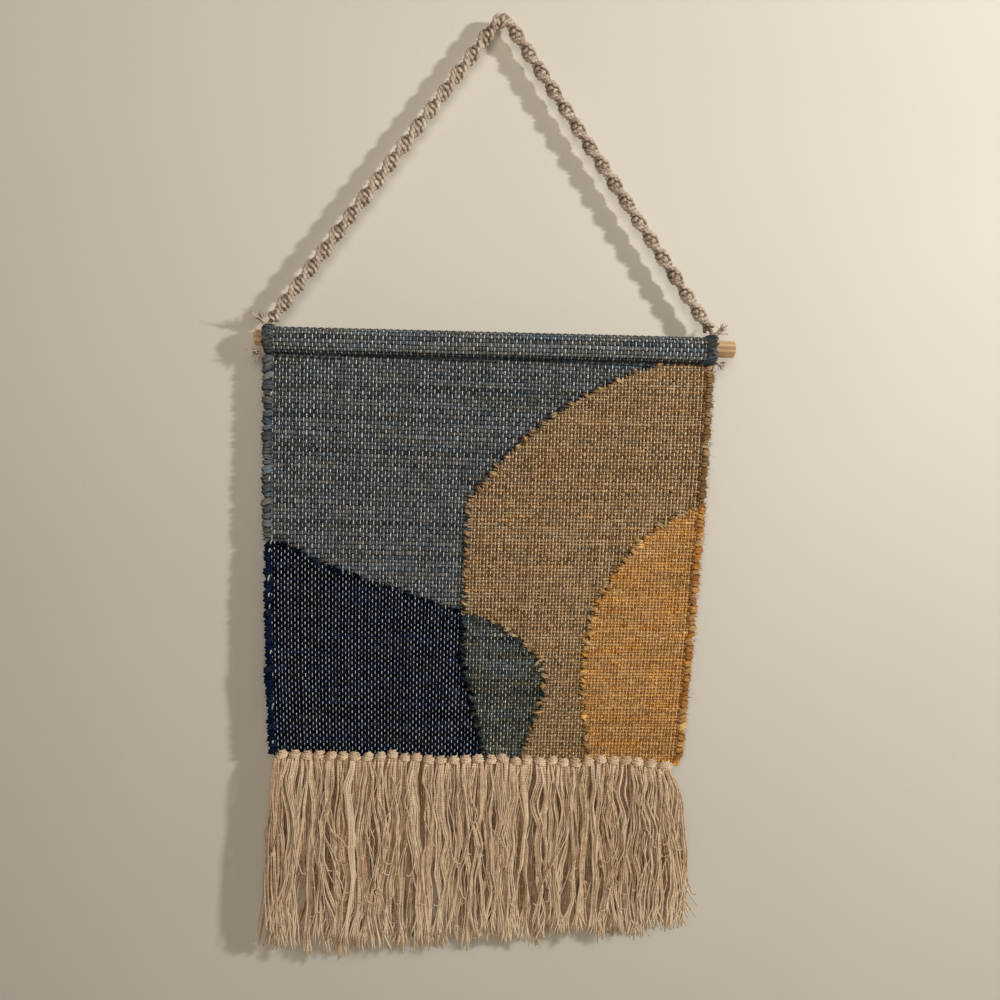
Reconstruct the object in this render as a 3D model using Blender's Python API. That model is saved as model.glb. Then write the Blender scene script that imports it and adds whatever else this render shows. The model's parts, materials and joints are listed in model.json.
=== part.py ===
"""A woven tapestry wall hanging: a panel of five wool fields on a wooden dowel, a knotted
cord hanger tied round the dowel's ends, and a fringe of 32 cotton tassels.

Run it with blender --background --python part.py, or from Blender's text editor.

Frame: metres, +Z up, -Y towards the viewer, +Y towards the wall. The origin is the hang
point, where the underside of the cord's bend rests on a nail.
"""

import math

import bmesh
import bpy
from mathutils import Vector

MM = 0.001
GAP = 0.3 * MM  # left between pieces that touch on the real object

# Dowel
DOWEL_LENGTH = 457 * MM
DOWEL_RADIUS = 8 * MM
DOWEL_DROP = 293.5 * MM  # hang point down to the dowel's axis
DOWEL_CHAMFER = 0.8 * MM

# Cord hanger
CORD_RADIUS = 6.5 * MM
CORD_LEFT_FOOT = (-212.5 * MM, -275.0 * MM)  # x, z of the knot's end over the pocket
CORD_RIGHT_FOOT = (204.5 * MM, -275.0 * MM)
BEND_RADIUS = 8 * MM  # of the cord's centreline over the nail
BEND_POINTS = 8
LEG_POINTS = 14
LOOP_WIDTH = 4 * MM
LOOP_OUTER_RADIUS = 11.4 * MM
TAIL_RADIUS = 1.9 * MM

# Rod pocket: a tube with a drop-shaped underside, sewn down behind the panel
SLEEVE_LEFT = -218.8 * MM
SLEEVE_RIGHT = 210.8 * MM
SLEEVE_RADIUS = 11.2 * MM
SLEEVE_END_RADIUS = 12.0 * MM
SLEEVE_END_WIDTH = 8 * MM
SLEEVE_BORE = 8.4 * MM
SLEEVE_DROP = 14.0 * MM  # dowel axis down to the seam under the pocket
SLEEVE_SIDES = 28
FLAP_HEIGHT = 24 * MM
FLAP_THICKNESS = 2 * MM
STITCH_SIZE = 1 * MM

# Woven panel
PANEL_THICKNESS = 4 * MM
PANEL_TOP = -(DOWEL_DROP + SLEEVE_DROP + GAP)
PANEL_BOTTOM = -694.5 * MM
PANEL_LEFT_TOP = -219.5 * MM
PANEL_LEFT_DRAW_IN = 7 * MM  # how far the left edge comes in by the bottom
PANEL_RIGHT_TOP = 210.5 * MM
PANEL_RIGHT_DRAW_IN = 16 * MM
SELVEDGE_WIDTH = 7 * MM
SELVEDGE_THICKNESS = 6 * MM

# Where the five fields of colour meet, as smooth lines through a few points (x, z)
STEM_X = -22.5 * MM  # the upright side of the tan arch
ARCH = [(-22.5, -445), (-9, -428), (14, -400), (64, -356), (113, -327), (159, -307.8)]
DOME = [(-226, -487), (-199, -489), (-150, -513), (-85, -533), (-22.5, -554)]
OVERLAP_LEFT = [(-22.5, -554), (-26, -590), (-18, -625), (-9, -660), (0, -694.5)]
OVERLAP_TOP = [(-22.5, -554), (5, -562), (31, -578), (52, -602), (57, -625), (49, -652), (36, -694.5)]
HILL = [(216, -441), (196, -446), (159, -468), (122, -511), (101, -555), (94, -615), (101, -694.5)]
LINE_STEP = 14 * MM

# Fringe
TASSEL_COUNT = 32
TASSEL_FIRST_X = -198.5 * MM
TASSEL_LAST_X = 174.6 * MM
TASSEL_PITCH = (TASSEL_LAST_X - TASSEL_FIRST_X) / (TASSEL_COUNT - 1)
TASSEL_HINGE_Z = -700.5 * MM
TASSEL_KNOT_RADIUS = 5.0 * MM
TASSEL_LENGTH_LEFT = 190 * MM
TASSEL_LENGTH_RIGHT = 161 * MM

# Colour (linear RGB), roughness and metallic value of each material
FINISHES = {
    "wood": ((0.50, 0.30, 0.14), 0.55, 0.0),
    "hanger_cord": ((0.36, 0.28, 0.20), 0.9, 0.0),
    "grey_wool": ((0.085, 0.095, 0.10), 0.95, 0.0),
    "tan_wool": ((0.27, 0.16, 0.070), 0.95, 0.0),
    "orange_wool": ((0.46, 0.20, 0.060), 0.95, 0.0),
    "navy_wool": ((0.010, 0.013, 0.030), 0.95, 0.0),
    "teal_wool": ((0.055, 0.065, 0.045), 0.95, 0.0),
    "stitching": ((0.05, 0.055, 0.06), 0.9, 0.0),
    "fringe_cotton": ((0.50, 0.37, 0.23), 0.9, 0.0),
}


def clear_scene():
    for obj in list(bpy.data.objects):
        bpy.data.objects.remove(obj, do_unlink=True)


def material(name):
    found = bpy.data.materials.get(name)
    if found:
        return found
    colour, roughness, metallic = FINISHES[name]
    made = bpy.data.materials.new(name)
    made.use_nodes = True
    made.diffuse_color = (*colour, 1.0)
    shader = made.node_tree.nodes["Principled BSDF"]
    shader.inputs["Base Color"].default_value = (*colour, 1.0)
    shader.inputs["Roughness"].default_value = roughness
    shader.inputs["Metallic"].default_value = metallic
    return made


def add_object(name, data, finish, location=(0.0, 0.0, 0.0)):
    obj = bpy.data.objects.new(name, data)
    data.materials.append(material(finish))
    obj.location = location
    bpy.context.scene.collection.objects.link(obj)
    return obj


def mesh_from_rings(name, rings, close_ends=True):
    """A mesh through rings of points, each ring counter-clockwise as seen from the last one."""
    bm = bmesh.new()
    made = [[bm.verts.new(point) for point in ring] for ring in rings]
    pairs = list(zip(made, made[1:]))
    if not close_ends:
        pairs.append((made[-1], made[0]))
    for low, high in pairs:
        for i in range(len(low)):
            j = (i + 1) % len(low)
            bm.faces.new((low[i], low[j], high[j], high[i]))
    if close_ends:
        bm.faces.new(list(reversed(made[0])))
        bm.faces.new(made[-1])
    bmesh.ops.recalc_face_normals(bm, faces=bm.faces)
    mesh = bpy.data.meshes.new(name)
    bm.to_mesh(mesh)
    bm.free()
    return mesh


def smooth_line(points, step):
    """Points about a step apart on a Catmull-Rom curve through the given points."""
    ends = [points[0] * 2 - points[1], *points, points[-1] * 2 - points[-2]]
    line = []
    for before, start, end, after in zip(ends, ends[1:], ends[2:], ends[3:]):
        count = max(1, round((end - start).length / step))
        for k in range(count):
            t = k / count
            line.append(
                start
                + (end - before) * (t / 2)
                + (before * 2 - start * 5 + end * 4 - after) * (t * t / 2)
                + (start * 3 - before - end * 3 + after) * (t * t * t / 2)
            )
    line.append(points[-1])
    return line


def shade_round(mesh):
    mesh.shade_smooth()
    mesh.set_sharp_from_angle(angle=math.radians(40))


# Dowel and hanger


def circle_yz(x, radius, sides):
    turns = [2 * math.pi * k / sides for k in range(sides)]
    return [(x, radius * math.cos(a), -DOWEL_DROP + radius * math.sin(a)) for a in turns]


def make_dowel():
    half = DOWEL_LENGTH / 2
    narrow = DOWEL_RADIUS - DOWEL_CHAMFER
    stations = [
        (-half, narrow),
        (-half + DOWEL_CHAMFER, DOWEL_RADIUS),
        (half - DOWEL_CHAMFER, DOWEL_RADIUS),
        (half, narrow),
    ]
    mesh = mesh_from_rings("dowel", [circle_yz(x, radius, 28) for x, radius in stations])
    shade_round(mesh)
    add_object("dowel", mesh, "wood")


def tube(name, finish, lines, radius, resolution):
    """A closed tube along the points of a line."""
    curve = bpy.data.curves.new(name, "CURVE")
    curve.dimensions = "3D"
    curve.bevel_depth = radius
    curve.bevel_resolution = resolution
    curve.use_fill_caps = True
    spline = curve.splines.new("POLY")
    spline.points.add(len(lines) - 1)
    for point, place in zip(spline.points, lines):
        point.co = (*place, 1.0)
    add_object(name, curve, finish)


def tangent_angle(foot, centre, radius):
    """The angle on a circle where the straight line from a foot below it touches its outside."""
    away = Vector(foot) - centre
    turn = math.acos(radius / away.length)
    heading = math.atan2(away.y, away.x)
    return heading - turn if away.x < 0 else heading + turn


def make_hanger_cord():
    """The knotted cord: straight up from the left end, over the nail and straight down."""
    centre = Vector((0.0, CORD_RADIUS - BEND_RADIUS))
    start = tangent_angle(CORD_LEFT_FOOT, centre, BEND_RADIUS) % (2 * math.pi)
    end = tangent_angle(CORD_RIGHT_FOOT, centre, BEND_RADIUS)
    angles = [start + (end - start) * k / BEND_POINTS for k in range(BEND_POINTS + 1)]
    bend = [centre + BEND_RADIUS * Vector((math.cos(a), math.sin(a))) for a in angles]
    left, right = Vector(CORD_LEFT_FOOT), Vector(CORD_RIGHT_FOOT)
    rising = [left.lerp(bend[0], k / LEG_POINTS) for k in range(LEG_POINTS)]
    falling = [bend[-1].lerp(right, (k + 1) / LEG_POINTS) for k in range(LEG_POINTS)]
    route = [Vector((p.x, 0.0, p.y)) for p in rising + bend + falling]
    tube("hanger_cord", "hanger_cord", route, CORD_RADIUS, 2)


def make_hanger_loop(side, inner_x, direction):
    """One turn of the cord's end round the dowel, beside the rod pocket."""
    near = inner_x + direction * GAP * 1.5
    far = near + direction * LOOP_WIDTH
    low, high = sorted((near, far))
    inner = DOWEL_RADIUS + GAP
    edge = 0.8 * MM
    profile = [
        (low, inner),
        (low, LOOP_OUTER_RADIUS - edge),
        (low + edge, LOOP_OUTER_RADIUS),
        (high - edge, LOOP_OUTER_RADIUS),
        (high, LOOP_OUTER_RADIUS - edge),
        (high, inner),
    ]
    rings = []
    for k in range(16):
        a = 2 * math.pi * k / 16
        rings.append([(x, r * math.cos(a), -DOWEL_DROP + r * math.sin(a)) for x, r in profile])
    mesh = mesh_from_rings("hanger_loop_" + side, rings, close_ends=False)
    shade_round(mesh)
    add_object("hanger_loop_" + side, mesh, "hanger_cord")


def make_tails():
    """The cord's cut ends, which stick out of its two knots; heights are from the dowel's axis."""
    tails = {
        "tail_left_upper": [(-220.8, 0, 15.5), (-225, -1, 19), (-230, -2, 22.5)],
        "tail_left_lower": [(-222.5, -1, -14), (-226.5, -2, -15), (-232, -3, -17.5)],
        "tail_right_upper": [(212.5, 0, 15), (215, -1, 19), (218.5, -2, 22.5)],
        "tail_right_lower": [(214, -1, -14), (216, -2, -15.5), (218.5, -3, -18.5)],
    }
    for name, points in tails.items():
        line = [Vector(point) * MM - Vector((0, 0, DOWEL_DROP)) for point in points]
        tube(name, "hanger_cord", line, TAIL_RADIUS, 1)


# Rod pocket


def pocket_mesh(name, low_x, high_x, radius):
    """A tube along X with a round bore, its outside drawn down to the seam like a drop."""
    angles = [2 * math.pi * k / SLEEVE_SIDES - math.pi / 2 for k in range(SLEEVE_SIDES)]

    def outside(x):
        ring = []
        for k, a in enumerate(angles):
            steps = min(k, SLEEVE_SIDES - k)
            reach = {0: SLEEVE_DROP, 1: SLEEVE_DROP * 0.92}.get(steps, radius)
            ring.append((x, reach * math.cos(a), -DOWEL_DROP + reach * math.sin(a)))
        return ring

    def bore(x):
        return [
            (x, SLEEVE_BORE * math.cos(a), -DOWEL_DROP + SLEEVE_BORE * math.sin(a)) for a in angles
        ]

    rings = [outside(low_x), outside(high_x), bore(high_x), bore(low_x)]
    return mesh_from_rings(name, rings, close_ends=False)


def make_sleeve():
    inner_left = SLEEVE_LEFT + SLEEVE_END_WIDTH
    inner_right = SLEEVE_RIGHT - SLEEVE_END_WIDTH
    pieces = {
        "sleeve": (inner_left + GAP, inner_right - GAP, SLEEVE_RADIUS),
        "sleeve_end_left": (SLEEVE_LEFT, inner_left, SLEEVE_END_RADIUS),
        "sleeve_end_right": (inner_right, SLEEVE_RIGHT, SLEEVE_END_RADIUS),
    }
    for name, (low_x, high_x, radius) in pieces.items():
        mesh = pocket_mesh(name, low_x, high_x, radius)
        shade_round(mesh)
        add_object(name, mesh, "grey_wool")


def box(name, finish, low, high, bevel):
    """A block between two corners, with its edges bevelled."""
    middle = (Vector(low) + Vector(high)) / 2
    size = Vector(high) - Vector(low)
    bm = bmesh.new()
    bmesh.ops.create_cube(bm, size=1.0)
    bmesh.ops.scale(bm, vec=size, verts=bm.verts)
    mesh = bpy.data.meshes.new(name)
    bm.to_mesh(mesh)
    bm.free()
    obj = add_object(name, mesh, finish, middle)
    rounding = obj.modifiers.new("edges", "BEVEL")
    rounding.width = bevel
    rounding.segments = 1


def make_flap_and_seam():
    """The pocket's back layer, turned down behind the panel, and the thread that sews it."""
    front = PANEL_THICKNESS / 2 + GAP
    back = front + FLAP_THICKNESS
    left = PANEL_LEFT_TOP + SELVEDGE_WIDTH
    right = PANEL_RIGHT_TOP - SELVEDGE_WIDTH
    low = PANEL_TOP - FLAP_HEIGHT
    box("sleeve_flap", "grey_wool", (left, front, low), (right, back, PANEL_TOP), 0.4 * MM)
    seam_z = PANEL_TOP - FLAP_HEIGHT * 0.3
    box(
        "seam_stitching",
        "stitching",
        (left + GAP, back + GAP, seam_z - STITCH_SIZE / 2),
        (right - GAP, back + GAP + STITCH_SIZE, seam_z + STITCH_SIZE / 2),
        0.25 * MM,
    )


# Woven panel


def fall(z):
    """0 at the panel's top edge, 1 at its bottom edge."""
    return (PANEL_TOP - z) / (PANEL_TOP - PANEL_BOTTOM)


def left_edge(z):
    return PANEL_LEFT_TOP + PANEL_LEFT_DRAW_IN * fall(z) ** 3


def right_edge(z):
    return PANEL_RIGHT_TOP - PANEL_RIGHT_DRAW_IN * fall(z) ** 1.6


def boundary(points):
    """A field's boundary: the smooth line through its points, given in millimetres."""
    return smooth_line([Vector((x * MM, z * MM)) for x, z in points], LINE_STEP)


def edge_run(edge, offset, top, bottom):
    """Points down a side of the panel, an offset in from its edge."""
    count = max(2, round((top - bottom) / (3 * LINE_STEP)))
    levels = [top + (bottom - top) * k / count for k in range(count + 1)]
    return [Vector((edge(z) + offset, z)) for z in levels]


def clipped(line, low_x, high_x):
    """The part of a line between two x values, with its ends brought onto them."""
    kept = []
    for a, b in zip(line, line[1:]):
        for x in sorted((low_x, high_x), reverse=b.x < a.x):
            if min(a.x, b.x) < x < max(a.x, b.x):
                kept.append(a + (b - a) * ((x - a.x) / (b.x - a.x)))
        if low_x < b.x < high_x:
            kept.append(b)
    if low_x <= line[0].x <= high_x:
        kept.insert(0, line[0])
    return kept


def inset(outline, distance):
    """The outline with each side moved inwards; the outline runs counter-clockwise."""
    moved = []
    for k, point in enumerate(outline):
        before = (point - outline[k - 1]).normalized()
        after = (outline[(k + 1) % len(outline)] - point).normalized()
        normals = Vector((-before.y, before.x)), Vector((-after.y, after.x))
        share = 1 + normals[0].dot(normals[1])
        moved.append(point + (normals[0] + normals[1]) * (distance / max(share, 0.4)))
    return moved


def signed_area(outline):
    following = outline[1:] + outline[:1]
    return sum(a.x * b.y - b.x * a.y for a, b in zip(outline, following)) / 2


def without_repeats(outline):
    kept = []
    for point in outline:
        if not kept or (point - kept[-1]).length > 1 * MM:
            kept.append(point)
    if (kept[0] - kept[-1]).length < 1 * MM:
        kept.pop()
    return kept


def slab(name, finish, outline, thickness):
    """A flat piece in the XZ plane, as thick as given, centred on the panel's plane."""
    outline = without_repeats(outline)
    if signed_area(outline) < 0:
        outline.reverse()
    outline = inset(outline, GAP / 2)
    front = [(p.x, -thickness / 2, p.y) for p in outline]
    back = [(p.x, thickness / 2, p.y) for p in outline]
    add_object(name, mesh_from_rings(name, [front, back]), finish)


def make_fields():
    inner_left = SELVEDGE_WIDTH
    inner_right = -SELVEDGE_WIDTH
    arch, dome, hill = boundary(ARCH), boundary(DOME), boundary(HILL)
    overlap_left, overlap_top = boundary(OVERLAP_LEFT), boundary(OVERLAP_TOP)
    dome_z = DOME[1][1] * MM
    hill_z = HILL[0][1] * MM
    dome = clipped(dome, left_edge(dome_z) + inner_left, STEM_X)
    dome.append(overlap_left[0])
    hill = clipped(hill, -1.0, right_edge(hill_z) + inner_right)
    stem = [Vector((STEM_X, arch[0].y + (dome[-1].y - arch[0].y) * k / 4)) for k in range(1, 4)]
    arch_top = Vector((arch[-1].x, PANEL_TOP))

    def at_bottom(line):
        return [p for p in line if p.y > PANEL_BOTTOM] + [Vector((line[-1].x, PANEL_BOTTOM))]

    overlap_left, overlap_top, hill = map(at_bottom, (overlap_left, overlap_top, hill))
    left_top = edge_run(left_edge, inner_left, PANEL_TOP, dome[0].y)
    left_low = edge_run(left_edge, inner_left, dome[0].y, PANEL_BOTTOM)
    right_top = edge_run(right_edge, inner_right, PANEL_TOP, hill[0].y)
    right_low = edge_run(right_edge, inner_right, hill[0].y, PANEL_BOTTOM)
    grey = left_top + dome[1:] + stem[::-1] + arch[:-1] + [arch_top]
    tan = [arch_top] + arch[-2::-1] + stem + overlap_top + hill[::-1] + right_top[::-1]
    navy = left_low + overlap_left[::-1] + dome[-2::-1]
    teal = overlap_left + overlap_top[::-1]
    orange = hill + right_low[::-1]
    slab("grey_field", "grey_wool", grey, PANEL_THICKNESS)
    slab("tan_field", "tan_wool", tan, PANEL_THICKNESS)
    slab("navy_field", "navy_wool", navy, PANEL_THICKNESS)
    slab("teal_field", "teal_wool", teal, PANEL_THICKNESS)
    slab("orange_field", "orange_wool", orange, PANEL_THICKNESS)
    return dome_z, hill_z


def make_selvedge(name, finish, edge, inward, top, bottom):
    """The thick edge where the weft turns back, with its corners rounded across Y."""
    half = SELVEDGE_THICKNESS / 2
    count = max(3, round((top - bottom) / (3 * LINE_STEP)))
    levels = [bottom + GAP / 2 + (top - bottom - GAP) * k / count for k in range(count + 1)]
    rings = []
    for z in levels:
        outer = edge(z) + inward * GAP / 2
        inner = edge(z) + inward * (SELVEDGE_WIDTH - GAP / 2)
        bulge = outer + inward * 1.6 * MM
        waist = inner - inward * 1.0 * MM
        profile = [(outer, -half * 0.45), (bulge, -half), (waist, -half), (inner, -half * 0.6)]
        profile += [(x, -y) for x, y in reversed(profile)]
        rings.append([(x, y, z) for x, y in profile])
    mesh = mesh_from_rings(name, rings)
    shade_round(mesh)
    add_object(name, mesh, finish)


def make_selvedges(dome_z, hill_z):
    make_selvedge("selvedge_left_grey", "grey_wool", left_edge, 1, PANEL_TOP, dome_z)
    make_selvedge("selvedge_left_navy", "navy_wool", left_edge, 1, dome_z, PANEL_BOTTOM)
    make_selvedge("selvedge_right_tan", "tan_wool", right_edge, -1, PANEL_TOP, hill_z)
    make_selvedge("selvedge_right_orange", "orange_wool", right_edge, -1, hill_z, PANEL_BOTTOM)


# Fringe


def oval(half_width, half_depth, z):
    """An eight-sided ring with rounded corners, for a tassel's outline at one height."""
    cut = 0.45
    corners = [(1, cut), (cut, 1), (-cut, 1), (-1, cut), (-1, -cut), (-cut, -1), (cut, -1), (1, -cut)]
    return [(half_width * x, half_depth * y, z) for x, y in corners]


def make_tassel(number):
    """A knot, round about its hinge axis so that it can turn, and the threads under it."""
    share = (number - 1) / (TASSEL_COUNT - 1)
    length = TASSEL_LENGTH_LEFT + (TASSEL_LENGTH_RIGHT - TASSEL_LENGTH_LEFT) * share
    length += 3 * MM * math.sin(2.4 * number)
    half = (TASSEL_PITCH - GAP) / 2
    knot = TASSEL_KNOT_RADIUS
    rings = [
        oval(half * 0.88, knot * 0.30, knot * 0.94),
        oval(half * 0.90, knot * 0.92, knot * 0.30),
        oval(half * 0.86, knot * 0.80, -knot * 0.55),
        oval(half * 0.84, knot * 0.70, -knot * 1.10),
        oval(half, knot * 0.90, -length * 0.25),
        oval(half, knot * 0.95, -length * 0.75),
        oval(half * 0.97, knot * 0.70, -length),
    ]
    name = f"tassel_{number:02d}"
    mesh = mesh_from_rings(name, rings)
    shade_round(mesh)
    x = TASSEL_FIRST_X + TASSEL_PITCH * (number - 1)
    add_object(name, mesh, "fringe_cotton", (x, 0, TASSEL_HINGE_Z))


def main():
    clear_scene()
    make_dowel()
    make_hanger_cord()
    make_hanger_loop("left", SLEEVE_LEFT, -1)
    make_hanger_loop("right", SLEEVE_RIGHT, 1)
    make_tails()
    make_sleeve()
    make_flap_and_seam()
    make_selvedges(*make_fields())
    for number in range(1, TASSEL_COUNT + 1):
        make_tassel(number)


main()
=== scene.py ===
"""Looks of the tapestry wall hanging: every yarn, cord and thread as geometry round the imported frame.

Lengths in this file are millimetres, in the frame's own axes: +Z up, -Y towards the viewer, and the
origin where the cord hangs on its nail. Meshes are scaled to metres when they are made.
"""

import json
import math

import bpy
import numpy as np
from mathutils import Matrix, Vector
from mathutils.bvhtree import BVHTree


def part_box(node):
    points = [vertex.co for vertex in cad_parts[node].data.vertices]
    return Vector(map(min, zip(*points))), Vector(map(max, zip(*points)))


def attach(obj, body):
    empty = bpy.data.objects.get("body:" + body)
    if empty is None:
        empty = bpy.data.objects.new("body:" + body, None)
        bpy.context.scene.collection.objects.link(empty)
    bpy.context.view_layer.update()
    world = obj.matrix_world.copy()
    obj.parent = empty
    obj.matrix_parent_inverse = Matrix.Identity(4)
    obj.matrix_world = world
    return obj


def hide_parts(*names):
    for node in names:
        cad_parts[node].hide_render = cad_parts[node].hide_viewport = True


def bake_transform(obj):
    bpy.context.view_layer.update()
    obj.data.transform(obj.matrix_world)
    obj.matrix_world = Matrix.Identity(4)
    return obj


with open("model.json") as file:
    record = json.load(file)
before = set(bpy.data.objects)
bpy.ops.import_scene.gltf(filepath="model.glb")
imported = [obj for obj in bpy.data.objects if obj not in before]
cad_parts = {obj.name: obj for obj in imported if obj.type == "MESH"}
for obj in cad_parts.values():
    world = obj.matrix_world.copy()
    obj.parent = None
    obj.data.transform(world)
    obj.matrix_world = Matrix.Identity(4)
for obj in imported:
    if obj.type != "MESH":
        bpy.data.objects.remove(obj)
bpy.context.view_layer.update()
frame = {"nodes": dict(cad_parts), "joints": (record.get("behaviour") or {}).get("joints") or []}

MM = 0.001
FRONT = np.array((0.0, -1.0, 0.0))
ACROSS = np.array((1.0, 0.0, 0.0))


def low_high(node):
    """A CAD node's lowest and highest corners in millimetres."""
    low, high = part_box(node)
    return np.array(low) / MM, np.array(high) / MM


DOWEL_LOW, DOWEL_HIGH = low_high("dowel")
DOWEL_RADIUS = (DOWEL_HIGH[2] - DOWEL_LOW[2]) / 2
DOWEL_Z = (DOWEL_HIGH[2] + DOWEL_LOW[2]) / 2
POCKET_LEFT = low_high("sleeve_end_left")[0][0]
POCKET_RIGHT = low_high("sleeve_end_right")[1][0]
PANEL_TOP = low_high("grey_field")[1][2]
PANEL_BOTTOM = low_high("navy_field")[0][2]
PANEL_FRONT = low_high("grey_field")[0][1]
FLAP_BOTTOM = low_high("sleeve_flap")[0][2]
SEAM_Z = float(np.mean([corner[2] for corner in low_high("seam_stitching")]))

# Cord hanger: the route of the CAD tube, and the cord that the sinnet is knotted from
CORD_LEFT_FOOT = (-212.5, -275.0)
CORD_RIGHT_FOOT = (204.5, -275.0)
BEND_RADIUS = 8.0
BEND_CENTRE_Z = -1.5
CORD_DIAMETER = 3.9
KNOT_PITCH = 5.2
KNOTS_PER_HALF_TURN = 4

# Weave
WARP_ENDS = 126
SELVEDGE = 5.5  # from the panel's edge to the first warp end
WARP_WIDE = 0.66
WARP_THICK = 0.48
WARP_SWING = 0.66
HIDDEN = -0.6  # how a warp end shows where the weft turns back over it
WEFT_THICK = 0.92
WEFT_SWING = 0.74
POCKET_RADIUS = DOWEL_RADIUS + 1.7
POCKET_PITCH = 3.8
POCKET_STEP = 0.5  # between the points of the pocket's line
FIELDS = ("grey_field", "tan_field", "orange_field", "navy_field", "teal_field")

# How each field is woven. pitch: (height, pitch of its rows) pairs. lean: how far its rows fall to the
# right at its top and at its foot. show: how much of the warp shows between the rows. stain: how far
# the warp has taken the weft's colour. warp: a warp end's half width. weft: the weft's half width over
# a warp end and between two, in pitches. uneven: how much its tone and its tint wander. foot: how much
# lighter its lowest rows are.
WEAVES = {
    "grey_field": {
        "pitch": ((-308, 3.70), (-500, 3.85)), "lean": (0.023, -0.006),
        "show": 1.0, "stain": 0.0, "warp": 0.54, "weft": (0.52, 0.43),
        "uneven": (0.70, 0.75), "foot": 0.35,
    },
    "tan_field": {
        "pitch": ((-308, 2.75), (-385, 2.80), (-425, 3.35), (-520, 3.30), (-570, 3.05)),
        "lean": (-0.015, -0.019),
        "show": 0.95, "stain": 0.74, "warp": 0.78, "weft": (0.46, 0.36),
        "uneven": (0.50, 0.35), "foot": 0.15,
    },
    "orange_field": {
        "pitch": ((-441, 3.0), (-694, 2.70)), "lean": (-0.010, -0.022),
        "show": 0.90, "stain": 1.00, "warp": 0.78, "weft": (0.46, 0.37),
        "uneven": (0.50, 0.40), "foot": 0.0,
    },
    "navy_field": {
        "pitch": ((-487, 2.95), (-694, 2.95)), "lean": (-0.008, -0.008),
        "show": 0.78, "stain": 0.0, "warp": 0.44, "weft": (0.53, 0.45),
        "uneven": (0.80, 0.60), "foot": 0.0,
    },
    "teal_field": {
        "pitch": ((-554, 3.0), (-694, 3.0)), "lean": (-0.010, -0.012),
        "show": 0.85, "stain": 0.12, "warp": 0.50, "weft": (0.52, 0.43),
        "uneven": (0.80, 0.70), "foot": 0.0,
    },
}
PAINTED_PIT_SHADE = -1.5  # painted shade: the weft's tone where it dips behind a warp end
SEAM_TUCK = 2.1  # how far the seam draws the cloth back under the pocket
GROOVE_SHADE_FADES = 120.0  # how far right of the middle the painted shade in the groove under the pocket fades out
ROWS_BELOW = 3.4  # how far the rows carry on below the panel between the fringe's knots
ROWS_BELOW_CORNER = 4.5  # and at the panel's right corner, beyond the knots
LIGHTER_FROM, LIGHTER_OVER = -400.0, 100.0  # from this height down, over this length, rows get lighter

# How far a field's turned-back loops reach over its neighbour, and how light they are
JOINS = {
    "grey_field": (0.55, -1.0),
    "tan_field": (0.85, 0.5),
    "orange_field": (0.90, -0.2),
    "navy_field": (0.90, -0.4),
    "teal_field": (0.60, -1.0),
}

# The side edges' turned-back weft: node, which side, pitch of its turns, (wide, thick) of its yarn, how
# unevenly it lies, tint, half width of the band, tone, and loose hairs per millimetre
EDGES = (
    ("selvedge_left_grey", "left", 7.2, (3.8, 2.4), 0.9, 0.30, 3.4, 1.0, 0.3),
    ("selvedge_left_navy", "left", 6.4, (3.4, 2.1), 0.8, 0.60, 2.7, 0.5, 0.3),
    ("selvedge_right_tan", "right", 6.0, (3.2, 1.9), 0.9, 0.75, 2.7, 0.5, 1.2),
    ("selvedge_right_orange", "right", 6.0, (3.2, 1.9), 0.9, 0.55, 2.7, 0.5, 1.2),
)
EDGE_INSET = 4.3  # from the panel's outline to the middle of a band
EDGE_STRANDS = 2  # strands of yarn side by side in one turn
GREY_EDGE_OUT = 1.5  # how far the grey band stands out past the panel's outline
# The pocket's turned ends: pitch, (wide, thick) yarn, how unevenly it lies, tint and tone
POCKET_EDGE = (7.4, (3.9, 2.3), 0.7, 0.35, 1.5)
# Where bare stretches of warp lie over the left edge, as shares of the way down
BARE_WARP = (0.10, 0.31, 0.47, 0.49, 0.56, 0.60, 0.63, 0.745, 0.885, 0.975)

# Hang of the cloth
HANG_COLUMNS, HANG_ROWS = 31, 29
HANG_LIMIT = 3.0
HANG_FRAMES = 40
CLOTH = {
    "quality": 8,
    "mass": 0.0008,
    "tension_stiffness": 40,
    "compression_stiffness": 40,
    "shear_stiffness": 20,
    "bending_stiffness": 2,
    "air_damping": 4,
}
# The uneven cloth's waves: how many across and down, and their size
HANG_WAVES = ((1.6, 0.7, 1.5), (3.1, 0.4, 0.8), (0.8, 1.9, 0.7), (5.2, 1.2, 0.35))

# Fringe
THREADS_PER_TASSEL = 50
EXTRA_THREADS = 20  # the last tassel at the right is fuller
STRAYS = 0.16  # share of threads that stray
THREAD_RADIUS = 0.76
THREAD_POINTS = 28
# A tassel's ribbons of threads: how far back each lies and its place across
RIBBONS = ((-3.8, -2.4), (-3.0, 2.6), (-0.4, 0.2), (2.4, -2.2), (3.2, 2.4), (4.4, 0.0))
# Where the bottom edge's knots sit higher or lower: place, width and how far
KNOT_LIFTS = (
    (-82, 24, 2.0), (12, 14, 1.8), (128, 30, 2.6), (84, 14, -1.6), (178, 10, -2.0), (-128, 10, -1.0),
)
FRINGE_LEFT, FRINGE_RIGHT = -198.5, 174.6  # places of the first and the last tassel
LAST_FROM = 170.0  # only the last tassel at the right is beyond this place
KNOT_LEVELS = (3.5, 2.0, 0.5, -1.1, -2.7)  # heights of the wraps in a knot


# Curves and noise


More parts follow.
